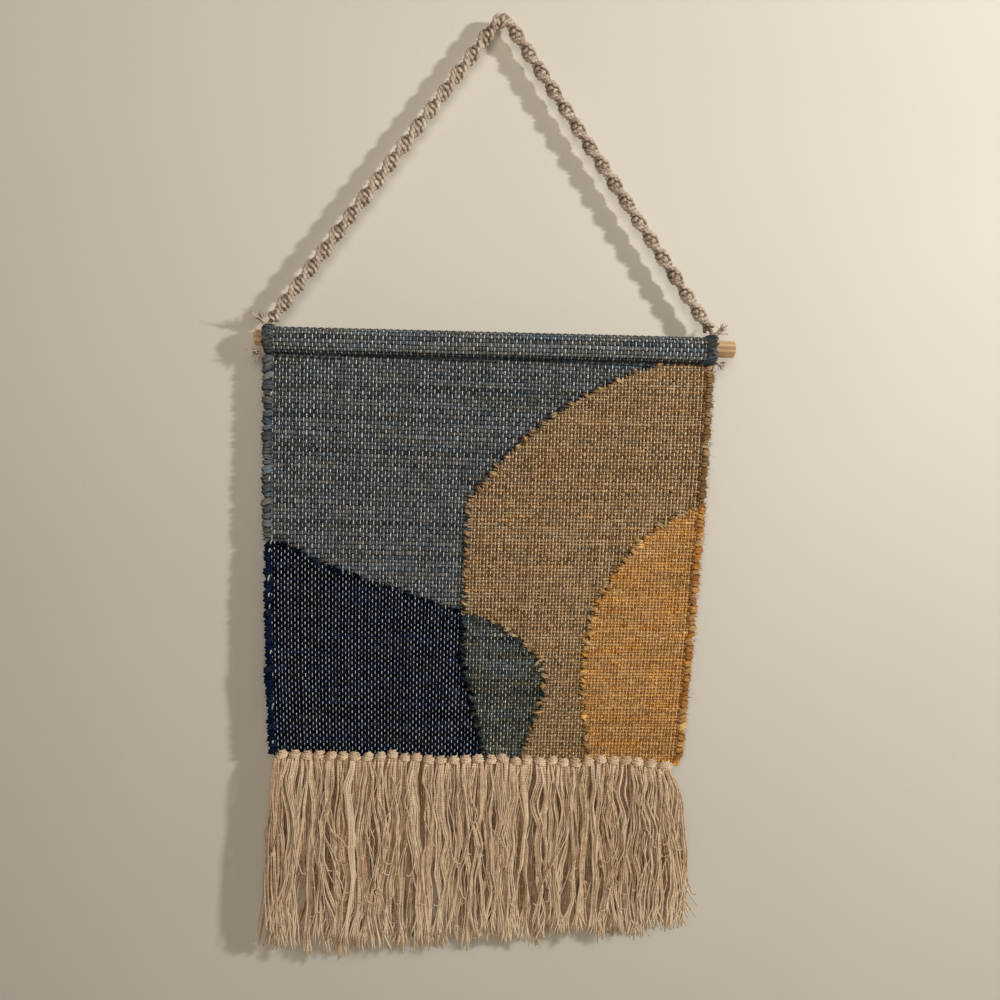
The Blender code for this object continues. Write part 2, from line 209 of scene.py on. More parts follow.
def smooth(points, steps):
    """A Catmull-Rom curve through the points, with that many steps from each to the next."""
    p = np.asarray(points, float)
    p = np.vstack([2 * p[0] - p[1], p, 2 * p[-1] - p[-2]])
    t = np.linspace(0, 1, steps, endpoint=False)[:, None]
    parts = []
    for a, b, c, d in zip(p, p[1:], p[2:], p[3:]):
        cubic = (3 * b - a - 3 * c + d) * t**3
        square = (2 * a - 5 * b + 4 * c - d) * t**2
        parts.append(0.5 * (2 * b + (c - a) * t + square + cubic))
    return np.vstack([*parts, p[-2]])


def lengths_along(line):
    """The distance along a line at each of its points."""
    return np.concatenate([[0.0], np.cumsum(np.linalg.norm(np.diff(line, axis=0), axis=1))])


def at_lengths(line, lengths):
    """Points of a line at those distances along it."""
    along = lengths_along(line)
    return np.column_stack([np.interp(lengths, along, line[:, k]) for k in range(3)])


def unit(vectors):
    return vectors / np.maximum(np.linalg.norm(vectors, axis=-1, keepdims=True), 1e-9)


def wander(rng, count, spacing, size):
    """A slowly changing random value at each of count samples, a new one every spacing samples."""
    knots = rng.normal(0.0, size, int(count / spacing) + 3)
    return np.interp(np.arange(count) / spacing + rng.random(), np.arange(len(knots)), knots)


# Yarn meshes


class Yarns:
    """Tubes of yarn that become one mesh, with attributes for how light and how tinted each is."""

    def __init__(self, sides=6):
        self.sides = sides
        self.tubes = []

    def add(self, line, facing, wide, thick, tone=0.0, tint=0.0):
        """A yarn along its middle line: the way its flat side faces, and its half width and thickness."""
        line = np.asarray(line, float)
        facing = np.broadcast_to(facing, line.shape)
        along = unit(np.gradient(line, axis=0))
        side = unit(np.cross(along, facing))
        up = np.cross(side, along)
        turn = np.arange(self.sides) * 2 * math.pi / self.sides
        wide = np.broadcast_to(wide, len(line))[:, None, None]
        thick = np.broadcast_to(thick, len(line))[:, None, None]
        reach = np.cos(turn)[None, :, None] * wide * side[:, None, :]
        rise = np.sin(turn)[None, :, None] * thick * up[:, None, :]
        ring_tone = np.repeat(np.broadcast_to(tone, len(line)), self.sides)
        ring_tint = np.repeat(np.broadcast_to(tint, len(line)), self.sides)
        self.tubes.append((line[:, None, :] + reach + rise, ring_tone, ring_tint))

    def mesh(self, name):
        sides = self.sides
        corners, starts, sizes, uvs = [], [], [], []
        base = loop = 0
        around = np.arange(sides)
        following = (around + 1) % sides
        for rings, _tone, _tint in self.tubes:
            count = len(rings)
            rows = base + np.arange(count - 1)[:, None] * sides
            quads = np.stack(
                [rows + around, rows + following, rows + sides + following, rows + sides + around], -1
            )
            along = lengths_along(rings.mean(1))
            low = np.broadcast_to(along[:-1, None], quads.shape[:2])
            high = np.broadcast_to(along[1:, None], quads.shape[:2])
            left = np.broadcast_to(around / sides, quads.shape[:2])
            right = left + 1 / sides
            uvs.append(
                np.stack([left, low, right, low, right, high, left, high], -1).reshape(-1, 2)
            )
            caps = np.concatenate([base + around[::-1], base + (count - 1) * sides + around])
            uvs.append(np.zeros((2 * sides, 2)))
            corners += [quads.reshape(-1), caps]
            quad_count = (count - 1) * sides
            starts += [loop + 4 * np.arange(quad_count), loop + 4 * quad_count + np.array((0, sides))]
            sizes += [np.full(quad_count, 4), np.array((sides, sides))]
            loop += 4 * quad_count + 2 * sides
            base += count * sides
        mesh = bpy.data.meshes.new(name)
        points = np.concatenate([rings.reshape(-1, 3) for rings, _tone, _tint in self.tubes]) * MM
        mesh.vertices.add(len(points))
        mesh.vertices.foreach_set("co", points.astype(np.float32).ravel())
        mesh.loops.add(loop)
        mesh.loops.foreach_set("vertex_index", np.concatenate(corners).astype(np.int32))
        starts = np.concatenate(starts)
        mesh.polygons.add(len(starts))
        mesh.polygons.foreach_set("loop_start", starts.astype(np.int32))
        mesh.polygons.foreach_set("loop_total", np.concatenate(sizes).astype(np.int32))
        mesh.update(calc_edges=True)
        mesh.polygons.foreach_set("use_smooth", np.ones(len(starts), bool))
        layer = mesh.uv_layers.new(name="yarn")
        layer.data.foreach_set("uv", np.concatenate(uvs).astype(np.float32).ravel())
        for label, which in (("tone", 1), ("tint", 2)):
            values = np.concatenate([tube[which] for tube in self.tubes]).astype(np.float32)
            mesh.attributes.new(label, "FLOAT", "POINT").data.foreach_set("value", values)
        return mesh

    def piece(self, name, body, finish, *replaced, slot=None):
        """The piece made of these yarns, riding on a body and standing for CAD nodes."""
        return settle(self.mesh(name), body, finish, *replaced, slot=slot)


def placed(name, data):
    """A new object in the scene."""
    obj = bpy.data.objects.new(name, data)
    bpy.context.scene.collection.objects.link(obj)
    return obj


FINISHES = {}


def settle(mesh, body, finish, *replaced, slot=None):
    """The piece of a mesh, with its finish and body and the CAD nodes that it stands for; its slot is not
    used.

    A piece without a body is left unattached.
    """
    mesh.materials.append(FINISHES[finish])
    obj = placed(mesh.name, mesh)
    if body:
        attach(obj, body)
    if replaced:
        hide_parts(*replaced)
    return obj


def warp_places():
    """Each warp end's share of the way across, with the small unevenness of a hand-dressed loom."""
    rng = np.random.default_rng(3)
    regular = (np.arange(WARP_ENDS) + 0.5) / WARP_ENDS
    return regular + (rng.normal(0, 0.035, WARP_ENDS) + wander(rng, WARP_ENDS, 9, 0.10)) / WARP_ENDS


WARP_PLACES = warp_places()
HALF_STEPS = np.interp(
    np.arange(2 * WARP_ENDS + 1) / 2,
    np.concatenate([[0.0], np.arange(WARP_ENDS) + 0.5, [WARP_ENDS]]),
    np.concatenate([[0.0], WARP_PLACES, [1.0]]),
)


def fray(yarns, rng, start, towards, count, length, radius, spread, tint=0.0):
    """A tuft of fine fibres that leave one place and spread."""
    for _ in range(count):
        heading = unit(np.asarray(towards, float) + rng.normal(0, spread, 3))
        bend = rng.normal(0, 0.30, 3)
        t = np.linspace(0, 1, 5)[:, None]
        reach = length * rng.uniform(0.55, 1.1)
        line = np.asarray(start) + rng.normal(0, 0.5, 3) + heading * reach * t + bend * reach * t**2
        thick = radius * (1 - 0.6 * t[:, 0])
        yarns.add(line, (0.31, -0.9, 0.3), thick, thick, rng.normal(0, 0.3), tint)


# Materials


class Finish:
    """A node material being put together."""

    def __init__(self, name, roughness, specular=0.08):
        self.material = bpy.data.materials.new(f"{name}_finish")
        self.material.use_nodes = True
        FINISHES[name] = self.material
        self.nodes = self.material.node_tree.nodes
        self.links = self.material.node_tree.links
        self.shader = self.nodes["Principled BSDF"]
        self.shader.inputs["Roughness"].default_value = roughness
        self.shader.inputs["Specular IOR Level"].default_value = specular

    def node(self, kind, inputs=(), **settings):
        """A node with its properties set, and its inputs set to values or linked to sockets."""
        made = self.nodes.new(kind)
        for key, value in settings.items():
            setattr(made, key, value)
        for key, value in dict(inputs).items():
            if isinstance(value, bpy.types.NodeSocket):
                self.links.new(value, made.inputs[key])
            else:
                made.inputs[key].default_value = value
        return made

    def place(self, stretch=(1, 1, 1)):
        """Object coordinates, stretched."""
        where = self.node("ShaderNodeTexCoord").outputs["Object"]
        return self.node("ShaderNodeMapping", {"Vector": where, "Scale": stretch}).outputs[0]

    def noise(self, vector, scale, detail=2.0):
        inputs = {"Vector": vector, "Scale": scale, "Detail": detail}
        return self.node("ShaderNodeTexNoise", inputs).outputs[0]

    def attribute(self, name):
        return self.node("ShaderNodeAttribute", attribute_name=name).outputs["Fac"]

    def maths(self, operation, a, b=0.0):
        return self.node("ShaderNodeMath", {0: a, 1: b}, operation=operation).outputs[0]

    def ramp(self, factor, stops):
        made = self.node("ShaderNodeValToRGB", {0: factor})
        elements = made.color_ramp.elements
        while len(elements) < len(stops):
            elements.new(0.5)
        for element, (position, colour) in zip(elements, stops):
            element.position = position
            element.color = (*colour, 1)
        return made.outputs[0]

    def mix(self, factor, a, b, blend="MIX"):
        a, b = ((*c, 1) if isinstance(c, tuple) else c for c in (a, b))
        inputs = {"Fac": factor, "Color1": a, "Color2": b}
        return self.node("ShaderNodeMixRGB", inputs, blend_type=blend).outputs[0]

    def colour(self, socket):
        self.links.new(socket, self.shader.inputs["Base Color"])

    def bump(self, height, distance, strength=0.6):
        inputs = {"Height": height, "Distance": distance, "Strength": strength}
        self.links.new(self.node("ShaderNodeBump", inputs).outputs[0], self.shader.inputs["Normal"])


# Spun yarns: colours (dark, middle, light, tinted), length of one turn in millimetres, plies, how light
# the yarn stays at its sides under the shade painted on its flanks, and its cool and warm dyes
YARN_FINISHES = {
    "hanger_cord": (
        ((0.28, 0.21, 0.15), (0.55, 0.455, 0.355), (0.82, 0.72, 0.60), (0.62, 0.50, 0.36)), 7, 3, 0.60,
    ),
    "grey_wool": (
        ((0.0275, 0.033, 0.034), (0.097, 0.108, 0.111), (0.222, 0.242, 0.242), (0.084, 0.103, 0.121)),
        9, 2, 0.40, (0.82, 0.95, 1.10), (1.13, 1.01, 0.86),
    ),
    "tan_wool": (
        ((0.121, 0.067, 0.0232), (0.385, 0.249, 0.119), (0.675, 0.50, 0.288), (0.222, 0.134, 0.058)),
        9, 2, 0.38, (0.88, 0.93, 0.97), (1.10, 0.98, 0.80),
    ),
    "orange_wool": (
        ((0.31, 0.128, 0.029), (0.69, 0.362, 0.118), (0.94, 0.63, 0.26), (0.37, 0.176, 0.066)),
        9, 2, 0.42, (0.88, 0.92, 0.96), (1.10, 0.98, 0.62),
    ),
    "navy_wool": (
        ((0.0011, 0.0019, 0.0050), (0.0062, 0.0108, 0.0240), (0.025, 0.041, 0.076), (0.006, 0.015, 0.047)),
        9, 2, 0.35, (0.75, 0.92, 1.25), (1.2, 1.05, 0.8),
    ),
    "teal_wool": (
        ((0.0215, 0.026, 0.021), (0.078, 0.094, 0.079), (0.208, 0.234, 0.195), (0.103, 0.104, 0.070)),
        9, 2, 0.38, (0.78, 0.95, 1.2), (1.2, 1.02, 0.8),
    ),
    "stitching": (
        ((0.02, 0.02, 0.02), (0.04, 0.042, 0.046), (0.08, 0.08, 0.09), (0.05, 0.05, 0.06)), 2, 2, 0.6,
    ),
    "fringe_cotton": (
        ((0.41, 0.265, 0.150), (0.71, 0.505, 0.315), (0.92, 0.745, 0.525), (0.42, 0.26, 0.12)), 5, 2, 0.8,
    ),
    "warp_cotton": (
        ((0.235, 0.25, 0.25), (0.59, 0.625, 0.64), (0.89, 0.94, 0.965), (0.84, 0.58, 0.31)), 5, 2, 0.5,
    ),
}


def make_yarn_finish(name, colours, twist, plies, painted_side_shade, cool=(1, 1, 1), warm=(1, 1, 1)):
    """Spun yarn: uneven dye, fibres, plies that wind round it, and painted shade darkening its flanks."""
    dark, middle, light, tinted = colours
    finish = Finish(name, 1.0, 0.0)
    place = finish.place()
    mottle = finish.noise(place, 190, 3)
    streaks = finish.noise(place, 820, 2)
    level = finish.maths("ADD", *(finish.maths("MULTIPLY", noise, 0.8) for noise in (mottle, streaks)))
    level = finish.maths("ADD", level, finish.maths("MULTIPLY", finish.attribute("tone"), 0.17))
    shade = finish.ramp(finish.maths("SUBTRACT", level, 0.3), [(0.20, dark), (0.5, middle), (0.80, light)])
    shade = finish.mix(finish.attribute("tint"), shade, tinted)
    patches = finish.noise(finish.place((26, 70, 120)), 1, 2)
    dyes = finish.ramp(patches, [(0.36, cool), (0.5, (1, 1, 1)), (0.64, warm)])
    shade = finish.mix(1.0, shade, dyes, "MULTIPLY")
    # Painted shade: the colour darkens towards the yarn's sides, round the tube away from its front.
    where = finish.node("ShaderNodeUVMap", uv_map="yarn").outputs[0]
    split = finish.node("ShaderNodeSeparateXYZ", {0: where})
    facing = finish.maths("SINE", finish.maths("MULTIPLY", split.outputs[0], 2 * math.pi))
    sides = finish.ramp(facing, [(0.1, (painted_side_shade, painted_side_shade, painted_side_shade)), (0.85, (1, 1, 1))])
    finish.colour(finish.mix(1.0, shade, sides, "MULTIPLY"))
    wind = finish.maths("ADD", split.outputs[0], finish.maths("DIVIDE", split.outputs[1], twist))
    plied = finish.maths("SINE", finish.maths("MULTIPLY", wind, 2 * math.pi * plies))
    rough = finish.maths("ADD", finish.maths("MULTIPLY", plied, 0.35), streaks)
    finish.bump(rough, 0.5 * MM, 0.8)


def make_wood_finish():
    finish = Finish("wood", 0.55, 0.4)
    fine = finish.noise(finish.place((5, 430, 430)), 1, 3)
    broad = finish.noise(finish.place((3, 55, 55)), 1, 2)
    grain = [finish.maths("MULTIPLY", noise, share) for noise, share in ((fine, 0.6), (broad, 0.5))]
    stops = [(0.42, (0.24, 0.125, 0.050)), (0.53, (0.50, 0.31, 0.150)), (0.66, (0.68, 0.47, 0.26))]
    finish.colour(finish.ramp(finish.maths("ADD", *grain), stops))
    finish.bump(fine, 0.12 * MM, 0.5)


def make_finishes():
    make_wood_finish()
    for name, looks in YARN_FINISHES.items():
        make_yarn_finish(name, *looks)


# Hanger


def hanger_route():
    """The middle of the sinnet, from the left foot up, round the nail and down to the right foot."""
    def tangent_angle(foot, turned):
        """Where the straight run from a foot meets the bend, as an angle at the bend's middle."""
        reach = math.hypot(foot[0], foot[1] - BEND_CENTRE_Z)
        towards = math.atan2(foot[1] - BEND_CENTRE_Z, foot[0])
        return towards + turned * math.acos(BEND_RADIUS / reach)

    first = tangent_angle(CORD_LEFT_FOOT, -1) % (2 * math.pi)
    last = tangent_angle(CORD_RIGHT_FOOT, 1)
    angles = np.linspace(first, last, 24)
    bend = [(BEND_RADIUS * math.cos(a), 0.0, BEND_CENTRE_Z + BEND_RADIUS * math.sin(a)) for a in angles]
    feet = [(foot[0], 0.0, foot[1]) for foot in (CORD_LEFT_FOOT, CORD_RIGHT_FOOT)]
    return np.array([feet[0], *bend, feet[1]])


def make_hanger():
    """A spiral of half knots: two cords that take turns to cross before and behind two core cords."""
    rng = np.random.default_rng(11)
    route = hanger_route()
    total = lengths_along(route)[-1]
    knots = int(total / KNOT_PITCH)
    radius = CORD_DIAMETER / 2
    side_reach, turn_reach, rise = 4.0, 5.1, 2.9
    behind = 0.8 * radius

    # One cord's places over two knots: across the flat braid, out of its face, knots along it
    crossing = [
        (-side_reach, -behind, 0.0), (0.0, rise, 0.05), (side_reach, -behind, 0.15),
        (turn_reach, 0.0, 0.55), (side_reach, behind, 1.0), (0.0, -rise, 1.05),
        (-side_reach, behind, 1.15), (-turn_reach, 0.0, 1.55),
    ]
    dense = at_lengths(route, np.linspace(0, total, 1400))
    heading = unit(np.gradient(dense, axis=0))

    def braid_point(across, out, along):
        along = min(max(along, 0.0), total)
        share = along / total * (len(dense) - 1)
        k = int(round(share))
        angle = math.pi * along / (KNOTS_PER_HALF_TURN * KNOT_PITCH)
        sideways = np.cross(heading[k], FRONT)
        e1 = math.cos(angle) * sideways + math.sin(angle) * FRONT
        e2 = -math.sin(angle) * sideways + math.cos(angle) * FRONT
        where = at_lengths(route, np.array([along]))[0]
        return where + across * e1 + out * e2

    yarns = Yarns(8)
    for offset in (0, 1):
        points = []
        for pair in range(-1, knots // 2 + 1):
            for across, out, along in crossing:
                step = 2 * pair + offset + along
                if 0 <= step <= knots:
                    loose = rng.normal(0, 0.22, 3)
                    points.append(braid_point(across, out, step * KNOT_PITCH) + loose)
        line = smooth(points, 4)
        facing = unit(line - at_nearest(dense, line))
        yarns.add(line, facing, radius, radius * 0.94, wander(rng, len(line), 30, 0.5))
    for side in (-1.6, 1.6):
        line = np.array([braid_point(side, 0.0, along) for along in np.linspace(0, total, 320)])
        yarns.add(line, FRONT, 2.0, 2.0, -0.4)
    piece = yarns.piece("hanger_sinnet", "hanger", "hanger_cord", "hanger_cord")
    return piece, route, total


def at_nearest(dense, line):
    """The dense line's point nearest to each of the line's points."""
    found = np.empty_like(line)
    for start in range(0, len(line), 500):
        part = line[start : start + 500]
        gap = ((part[:, None, :] - dense[None, :, :]) ** 2).sum(-1)
        found[start : start + 500] = dense[gap.argmin(1)]
    return found


def make_hanger_ends():
    """The loops that the cord's ends make round the dowel, and the frayed tails of the knots.

    A loop passes behind the dowel beside the pocket and in under the pocket's turned end in front.
    """
    rng = np.random.default_rng(12)
    radius = CORD_DIAMETER / 2
    sides = (("left", -1, CORD_LEFT_FOOT, POCKET_LEFT), ("right", 1, CORD_RIGHT_FOOT, POCKET_RIGHT))
    for side, out, foot, pocket in sides:
        ring = DOWEL_RADIUS + radius + 0.1
        points = [(foot[0], 0.5, foot[1] + 2.0), (foot[0] + out * 3.0, 2.0, foot[1] - 3.0)]
        for k in range(14):
            angle = math.radians(80 - 27 * k)
            x = pocket - out * 1.6 + out * 3.8 * max(math.cos(angle), 0.0)
            points.append((x, ring * math.cos(angle), DOWEL_Z + ring * math.sin(angle)))
        points.append((foot[0] + out * 1.0, 2.5, foot[1] + 0.5))
        line = smooth(points, 4)
        yarns = Yarns(8)
        yarns.add(line, ACROSS, radius, radius, wander(rng, len(line), 12, 0.3))
        yarns.piece(f"cord_loop_{side}", "hanger", "hanger_cord", f"hanger_loop_{side}")
        for place, heading in (("upper", (out * 0.72, -0.2, 0.62)), ("lower", (out * 0.88, -0.15, -0.42))):
            node = f"tail_{side}_{place}"
            low, high = low_high(node)
            start_x = high[0] if out < 0 else low[0]
            start_z = low[2] if place == "upper" else high[2]
            start = np.array((start_x, 0.5, start_z))
            length = float(np.linalg.norm((high - low)[[0, 2]]))
            name = f"cord_tail_{side}_{place}"
            make_tail(rng, name, node, start, unit(np.array(heading)), length)


def make_tail(rng, name, node, start, heading, length):
    """A cut end of the cord: its plies come apart into a short thick tuft."""
    yarns = Yarns(5)
    for _ in range(16):
        t = np.linspace(-0.3, 1.0, 8)[:, None]
        spread = np.clip(rng.normal(0, 0.30, 3), -0.45, 0.45) * np.clip(t, 0, 1) ** 1.2
        curl = np.clip(rng.normal(0, 0.30, 3), -0.4, 0.4) * np.clip(t, 0, 1) ** 2
        reach = length * rng.uniform(0.40, 0.78)
        line = start + rng.normal(0, 0.6, 3) + (heading * t + spread + curl) * reach
        thick = rng.uniform(0.6, 1.0) * np.linspace(1.0, 0.7, 8)
        yarns.add(line, FRONT, thick, thick, rng.normal(1.2, 0.5))
    fray(yarns, rng, start + heading * length * 0.3, heading, 34, length * 0.5, 0.30, 0.5)
    yarns.piece(name, "hanger", "hanger_cord", node)


# Panel's outline and hang


def edge_line(nodes, outermost):
    """The panel's outer edge as heights and places, from the selvedge nodes' own corners."""
    points = np.array([v.co for node in nodes for v in frame["nodes"][node].data.vertices]) / MM
    heights = np.unique(np.round(points[:, 2], 1))
    edge = [outermost(points[np.abs(points[:, 2] - h) < 0.3, 0]) for h in heights]
    return heights, np.array(edge)


LEFT_EDGE = edge_line(("selvedge_left_grey", "selvedge_left_navy"), np.min)
RIGHT_EDGE = edge_line(("selvedge_right_tan", "selvedge_right_orange"), np.max)


def left_edge(z):
    return np.interp(z, *LEFT_EDGE)


def right_edge(z):
    return np.interp(z, *RIGHT_EDGE)


def across_at(u, z):
    """The place across the panel of a warp end, or a share of one, at a height."""
    left = left_edge(z) + SELVEDGE
    right = right_edge(z) - SELVEDGE
    return left + (right - left) * u


def hang_panel():
    """How far the hanging cloth stands out of flat, on a coarse grid, from a cloth simulation.

    The sheet starts a little uneven, as hand-woven cloth is, and settles under its own weight from
    its pinned top edge.
    """
    rng = np.random.default_rng(5)
    heights = np.linspace(PANEL_TOP, PANEL_BOTTOM, HANG_ROWS)
    u = np.linspace(0, 1, HANG_COLUMNS)
    x = np.array([across_at(u, z) for z in heights])
    z = np.repeat(heights[:, None], HANG_COLUMNS, 1)
    waves = rng.uniform(0, 2 * math.pi, 8)
    fall = (PANEL_TOP - z) / (PANEL_TOP - PANEL_BOTTOM)
    y = np.zeros_like(x)
    for k, (across, down, size) in enumerate(HANG_WAVES):
        sideways = np.sin(2 * math.pi * across * u[None, :] + waves[k])
        y += size * sideways * np.sin(math.pi * down * fall + waves[k + 4])
    y *= np.clip(fall * 4, 0, 1)
    start = np.stack([x, y, z], -1).reshape(-1, 3) * MM
    y = settled(start, HANG_COLUMNS)[:, 1].reshape(y.shape) / MM
    y -= y[0]
    y *= np.clip(fall * 4, 0, 1)
    return np.clip(y, -HANG_LIMIT, HANG_LIMIT)


def settled(start, columns):
    """The grid's points after cloth simulation, pinned along the first row."""
    count = len(start) // columns
    corner = np.arange(len(start)).reshape(count, columns)
    quads = np.stack([corner[:-1, :-1], corner[1:, :-1], corner[1:, 1:], corner[:-1, 1:]], -1)
    mesh = bpy.data.meshes.new("hang")
    mesh.from_pydata(start.tolist(), [], quads.reshape(-1, 4).tolist())
    sheet = placed("hang", mesh)
    pins = sheet.vertex_groups.new(name="pins")
    pins.add(list(range(columns)), 1.0, "REPLACE")
    cloth = sheet.modifiers.new("cloth", "CLOTH")
    cloth.settings.vertex_group_mass = "pins"
    for setting, value in CLOTH.items():
        setattr(cloth.settings, setting, value)
    cloth.collision_settings.use_collision = False
    scene = bpy.context.scene
    cloth.point_cache.frame_start = 1
    cloth.point_cache.frame_end = HANG_FRAMES
    for moment in range(1, HANG_FRAMES + 1):
        scene.frame_set(moment)
    shaped = sheet.evaluated_get(bpy.context.evaluated_depsgraph_get())
    points = np.array([v.co for v in shaped.data.vertices])
    bpy.data.objects.remove(sheet, do_unlink=True)
    scene.frame_set(1)
    return points


HANG = hang_panel()


def stand_out(x, z):
    """How far the panel's middle stands back from flat at a place (negative towards the viewer)."""
    left = left_edge(z)
    right = right_edge(z)
    u = np.clip((x - left) / (right - left), 0, 1) * (HANG_COLUMNS - 1)
    v = np.clip((PANEL_TOP - z) / (PANEL_TOP - PANEL_BOTTOM), 0, 1) * (HANG_ROWS - 1)
    i = np.clip(u.astype(int), 0, HANG_COLUMNS - 2)
    j = np.clip(v.astype(int), 0, HANG_ROWS - 2)
    u, v = u - i, v - j
    upper = HANG[j, i] * (1 - u) + HANG[j, i + 1] * u
    lower = HANG[j + 1, i] * (1 - u) + HANG[j + 1, i + 1] * u
    tuck = SEAM_TUCK * np.exp(-(((PANEL_TOP - z) / 6.5) ** 2))
    return upper * (1 - v) + lower * v + tuck


def on_panel(x, z, out):
    """Points that stand out of the panel's middle towards the viewer."""
    x, z, out = np.broadcast_arrays(np.asarray(x, float), z, out)
    return np.stack([x, stand_out(x, z) - out, z], -1)


# Pocket's outline


def pocket_line():
    """The pocket's middle line: from the flap's foot up behind, over the dowel and down to the seam."""
    r = POCKET_RADIUS
    back = 4.6
    points = [(back, FLAP_BOTTOM - DOWEL_Z), (back, -24.0), (back + 0.3, -16.0), (7.4, -9.8)]
    over = np.radians((-22, 10, 40, 70, 100, 130, 160, 190))
    points += [(r * math.cos(a), r * math.sin(a)) for a in over]
    points += [(-r * 0.88, -6.6), (-5.2, -11.4), (-1.0, -13.2), (SEAM_TUCK, PANEL_TOP - DOWEL_Z - 0.2)]
    line = smooth([(0.0, y, DOWEL_Z + z) for y, z in points], 6)
    return at_lengths(line, np.arange(0, lengths_along(line)[-1], POCKET_STEP))


POCKET_LINE = pocket_line()
POCKET_OUT = unit(np.cross(np.gradient(POCKET_LINE, axis=0), ACROSS))


def on_pocket(x, along, out):
    """Points at a distance along the pocket's line, standing out of it, and the directions out."""
    x, along, out = np.broadcast_arrays(np.asarray(x, float), along, out)
    k = along / POCKET_STEP
    where = [np.interp(k, np.arange(len(POCKET_LINE)), POCKET_LINE[:, c]) for c in (1, 2)]
    facing = np.stack([np.interp(k, np.arange(len(POCKET_OUT)), POCKET_OUT[:, c]) for c in range(3)], -1)
    points = np.stack([x, *where], -1)
    return points + facing * out[..., None], facing


# Weave


def field_finder():
    """A function that tells which field of colour a place on the panel's face is in."""
    points, faces, owners = [], [], []
    for field in FIELDS:
        mesh = frame["nodes"][field].data
        base = len(points)
        points += [v.co.copy() for v in mesh.vertices]
        faces += [[base + k for k in polygon.vertices] for polygon in mesh.polygons]
        owners += [field] * len(mesh.polygons)
    tree = BVHTree.FromPolygons(points, faces)

    def field_at(x, z):
        return owners[tree.find_nearest((x * MM, PANEL_FRONT * MM, z * MM))[2]]

    return field_at


def row_heights(field):
    """The heights of a field's rows at the middle of the panel, top to bottom, and their pitches."""
    rng = np.random.default_rng(sum(map(ord, field)))
    weave = WEAVES[field]
    low, high = low_high(field)
    depths, pitches = zip(*reversed(weave["pitch"]))
    heights, pitch = [], []
    z = high[2] + 8.0
    while z > low[2] - 8.0:
        step = float(np.interp(z, depths, pitches)) * float(np.clip(rng.normal(1.0, 0.13), 0.72, 1.35))
        z -= step / 2
        heights.append(z)
        pitch.append(step)
        z -= step / 2
    return np.array(heights), np.array(pitch), high[2], low[2]


def field_rows(field, field_at):
    """A field's rows of weft: at each warp end, the row's height and whether the field holds it there.

    The rows carry on a little below the panel, between the fringe's knots and beyond the last one.
    """
    heights, pitch, top, foot = row_heights(field)
    lean = np.interp(heights, (foot, top), WEAVES[field]["lean"][::-1])
    knots_end = tassels()[-1][1][0] + 5.0
    rows = []
    for height, step, fall in zip(heights, pitch, lean):
        x = across_at(WARP_PLACES, height)
        z = height - fall * x
        reach = 0.24 * step
        lowest = PANEL_BOTTOM - np.where(x < knots_end, ROWS_BELOW, ROWS_BELOW_CORNER)
        held = np.array(
            [
                bottom < zz < PANEL_TOP + 0.25 * step
                and field_at(xx, min(zz + reach, PANEL_TOP - 0.5)) == field
                and field_at(xx, max(zz - reach, PANEL_BOTTOM + 0.5)) == field
                for xx, zz, bottom in zip(x, z, lowest)
            ]
        )
        rows.append({"height": height, "pitch": step, "lean": fall, "z": z, "held": held})
    return [row for row in rows if row["held"].any()]


def runs(held):
    """The first and last index of each stretch of True."""
    padded = np.concatenate([[False], held, [False]]).astype(int)
    change = np.flatnonzero(np.diff(padded))
    return list(zip(change[::2], change[1::2] - 1))


def row_tones(rng, length):
    """The lightness of one row of hand-spun weft along its length, with darker rows here and there."""
    base = rng.normal(0, 0.38)
    if rng.random() < 0.12:
        base -= 1.1
    return base + wander(rng, length, 26, 0.35) + wander(rng, length, 5, 0.28)


def painted_weft_relief(crossing, before):
    """The weft's tone: a painted highlight where it stands out before a warp end, painted shade where it
    dips behind.
    """
    return np.where(crossing, np.where(before > 0, 0.35, PAINTED_PIT_SHADE), PAINTED_PIT_SHADE / 2)


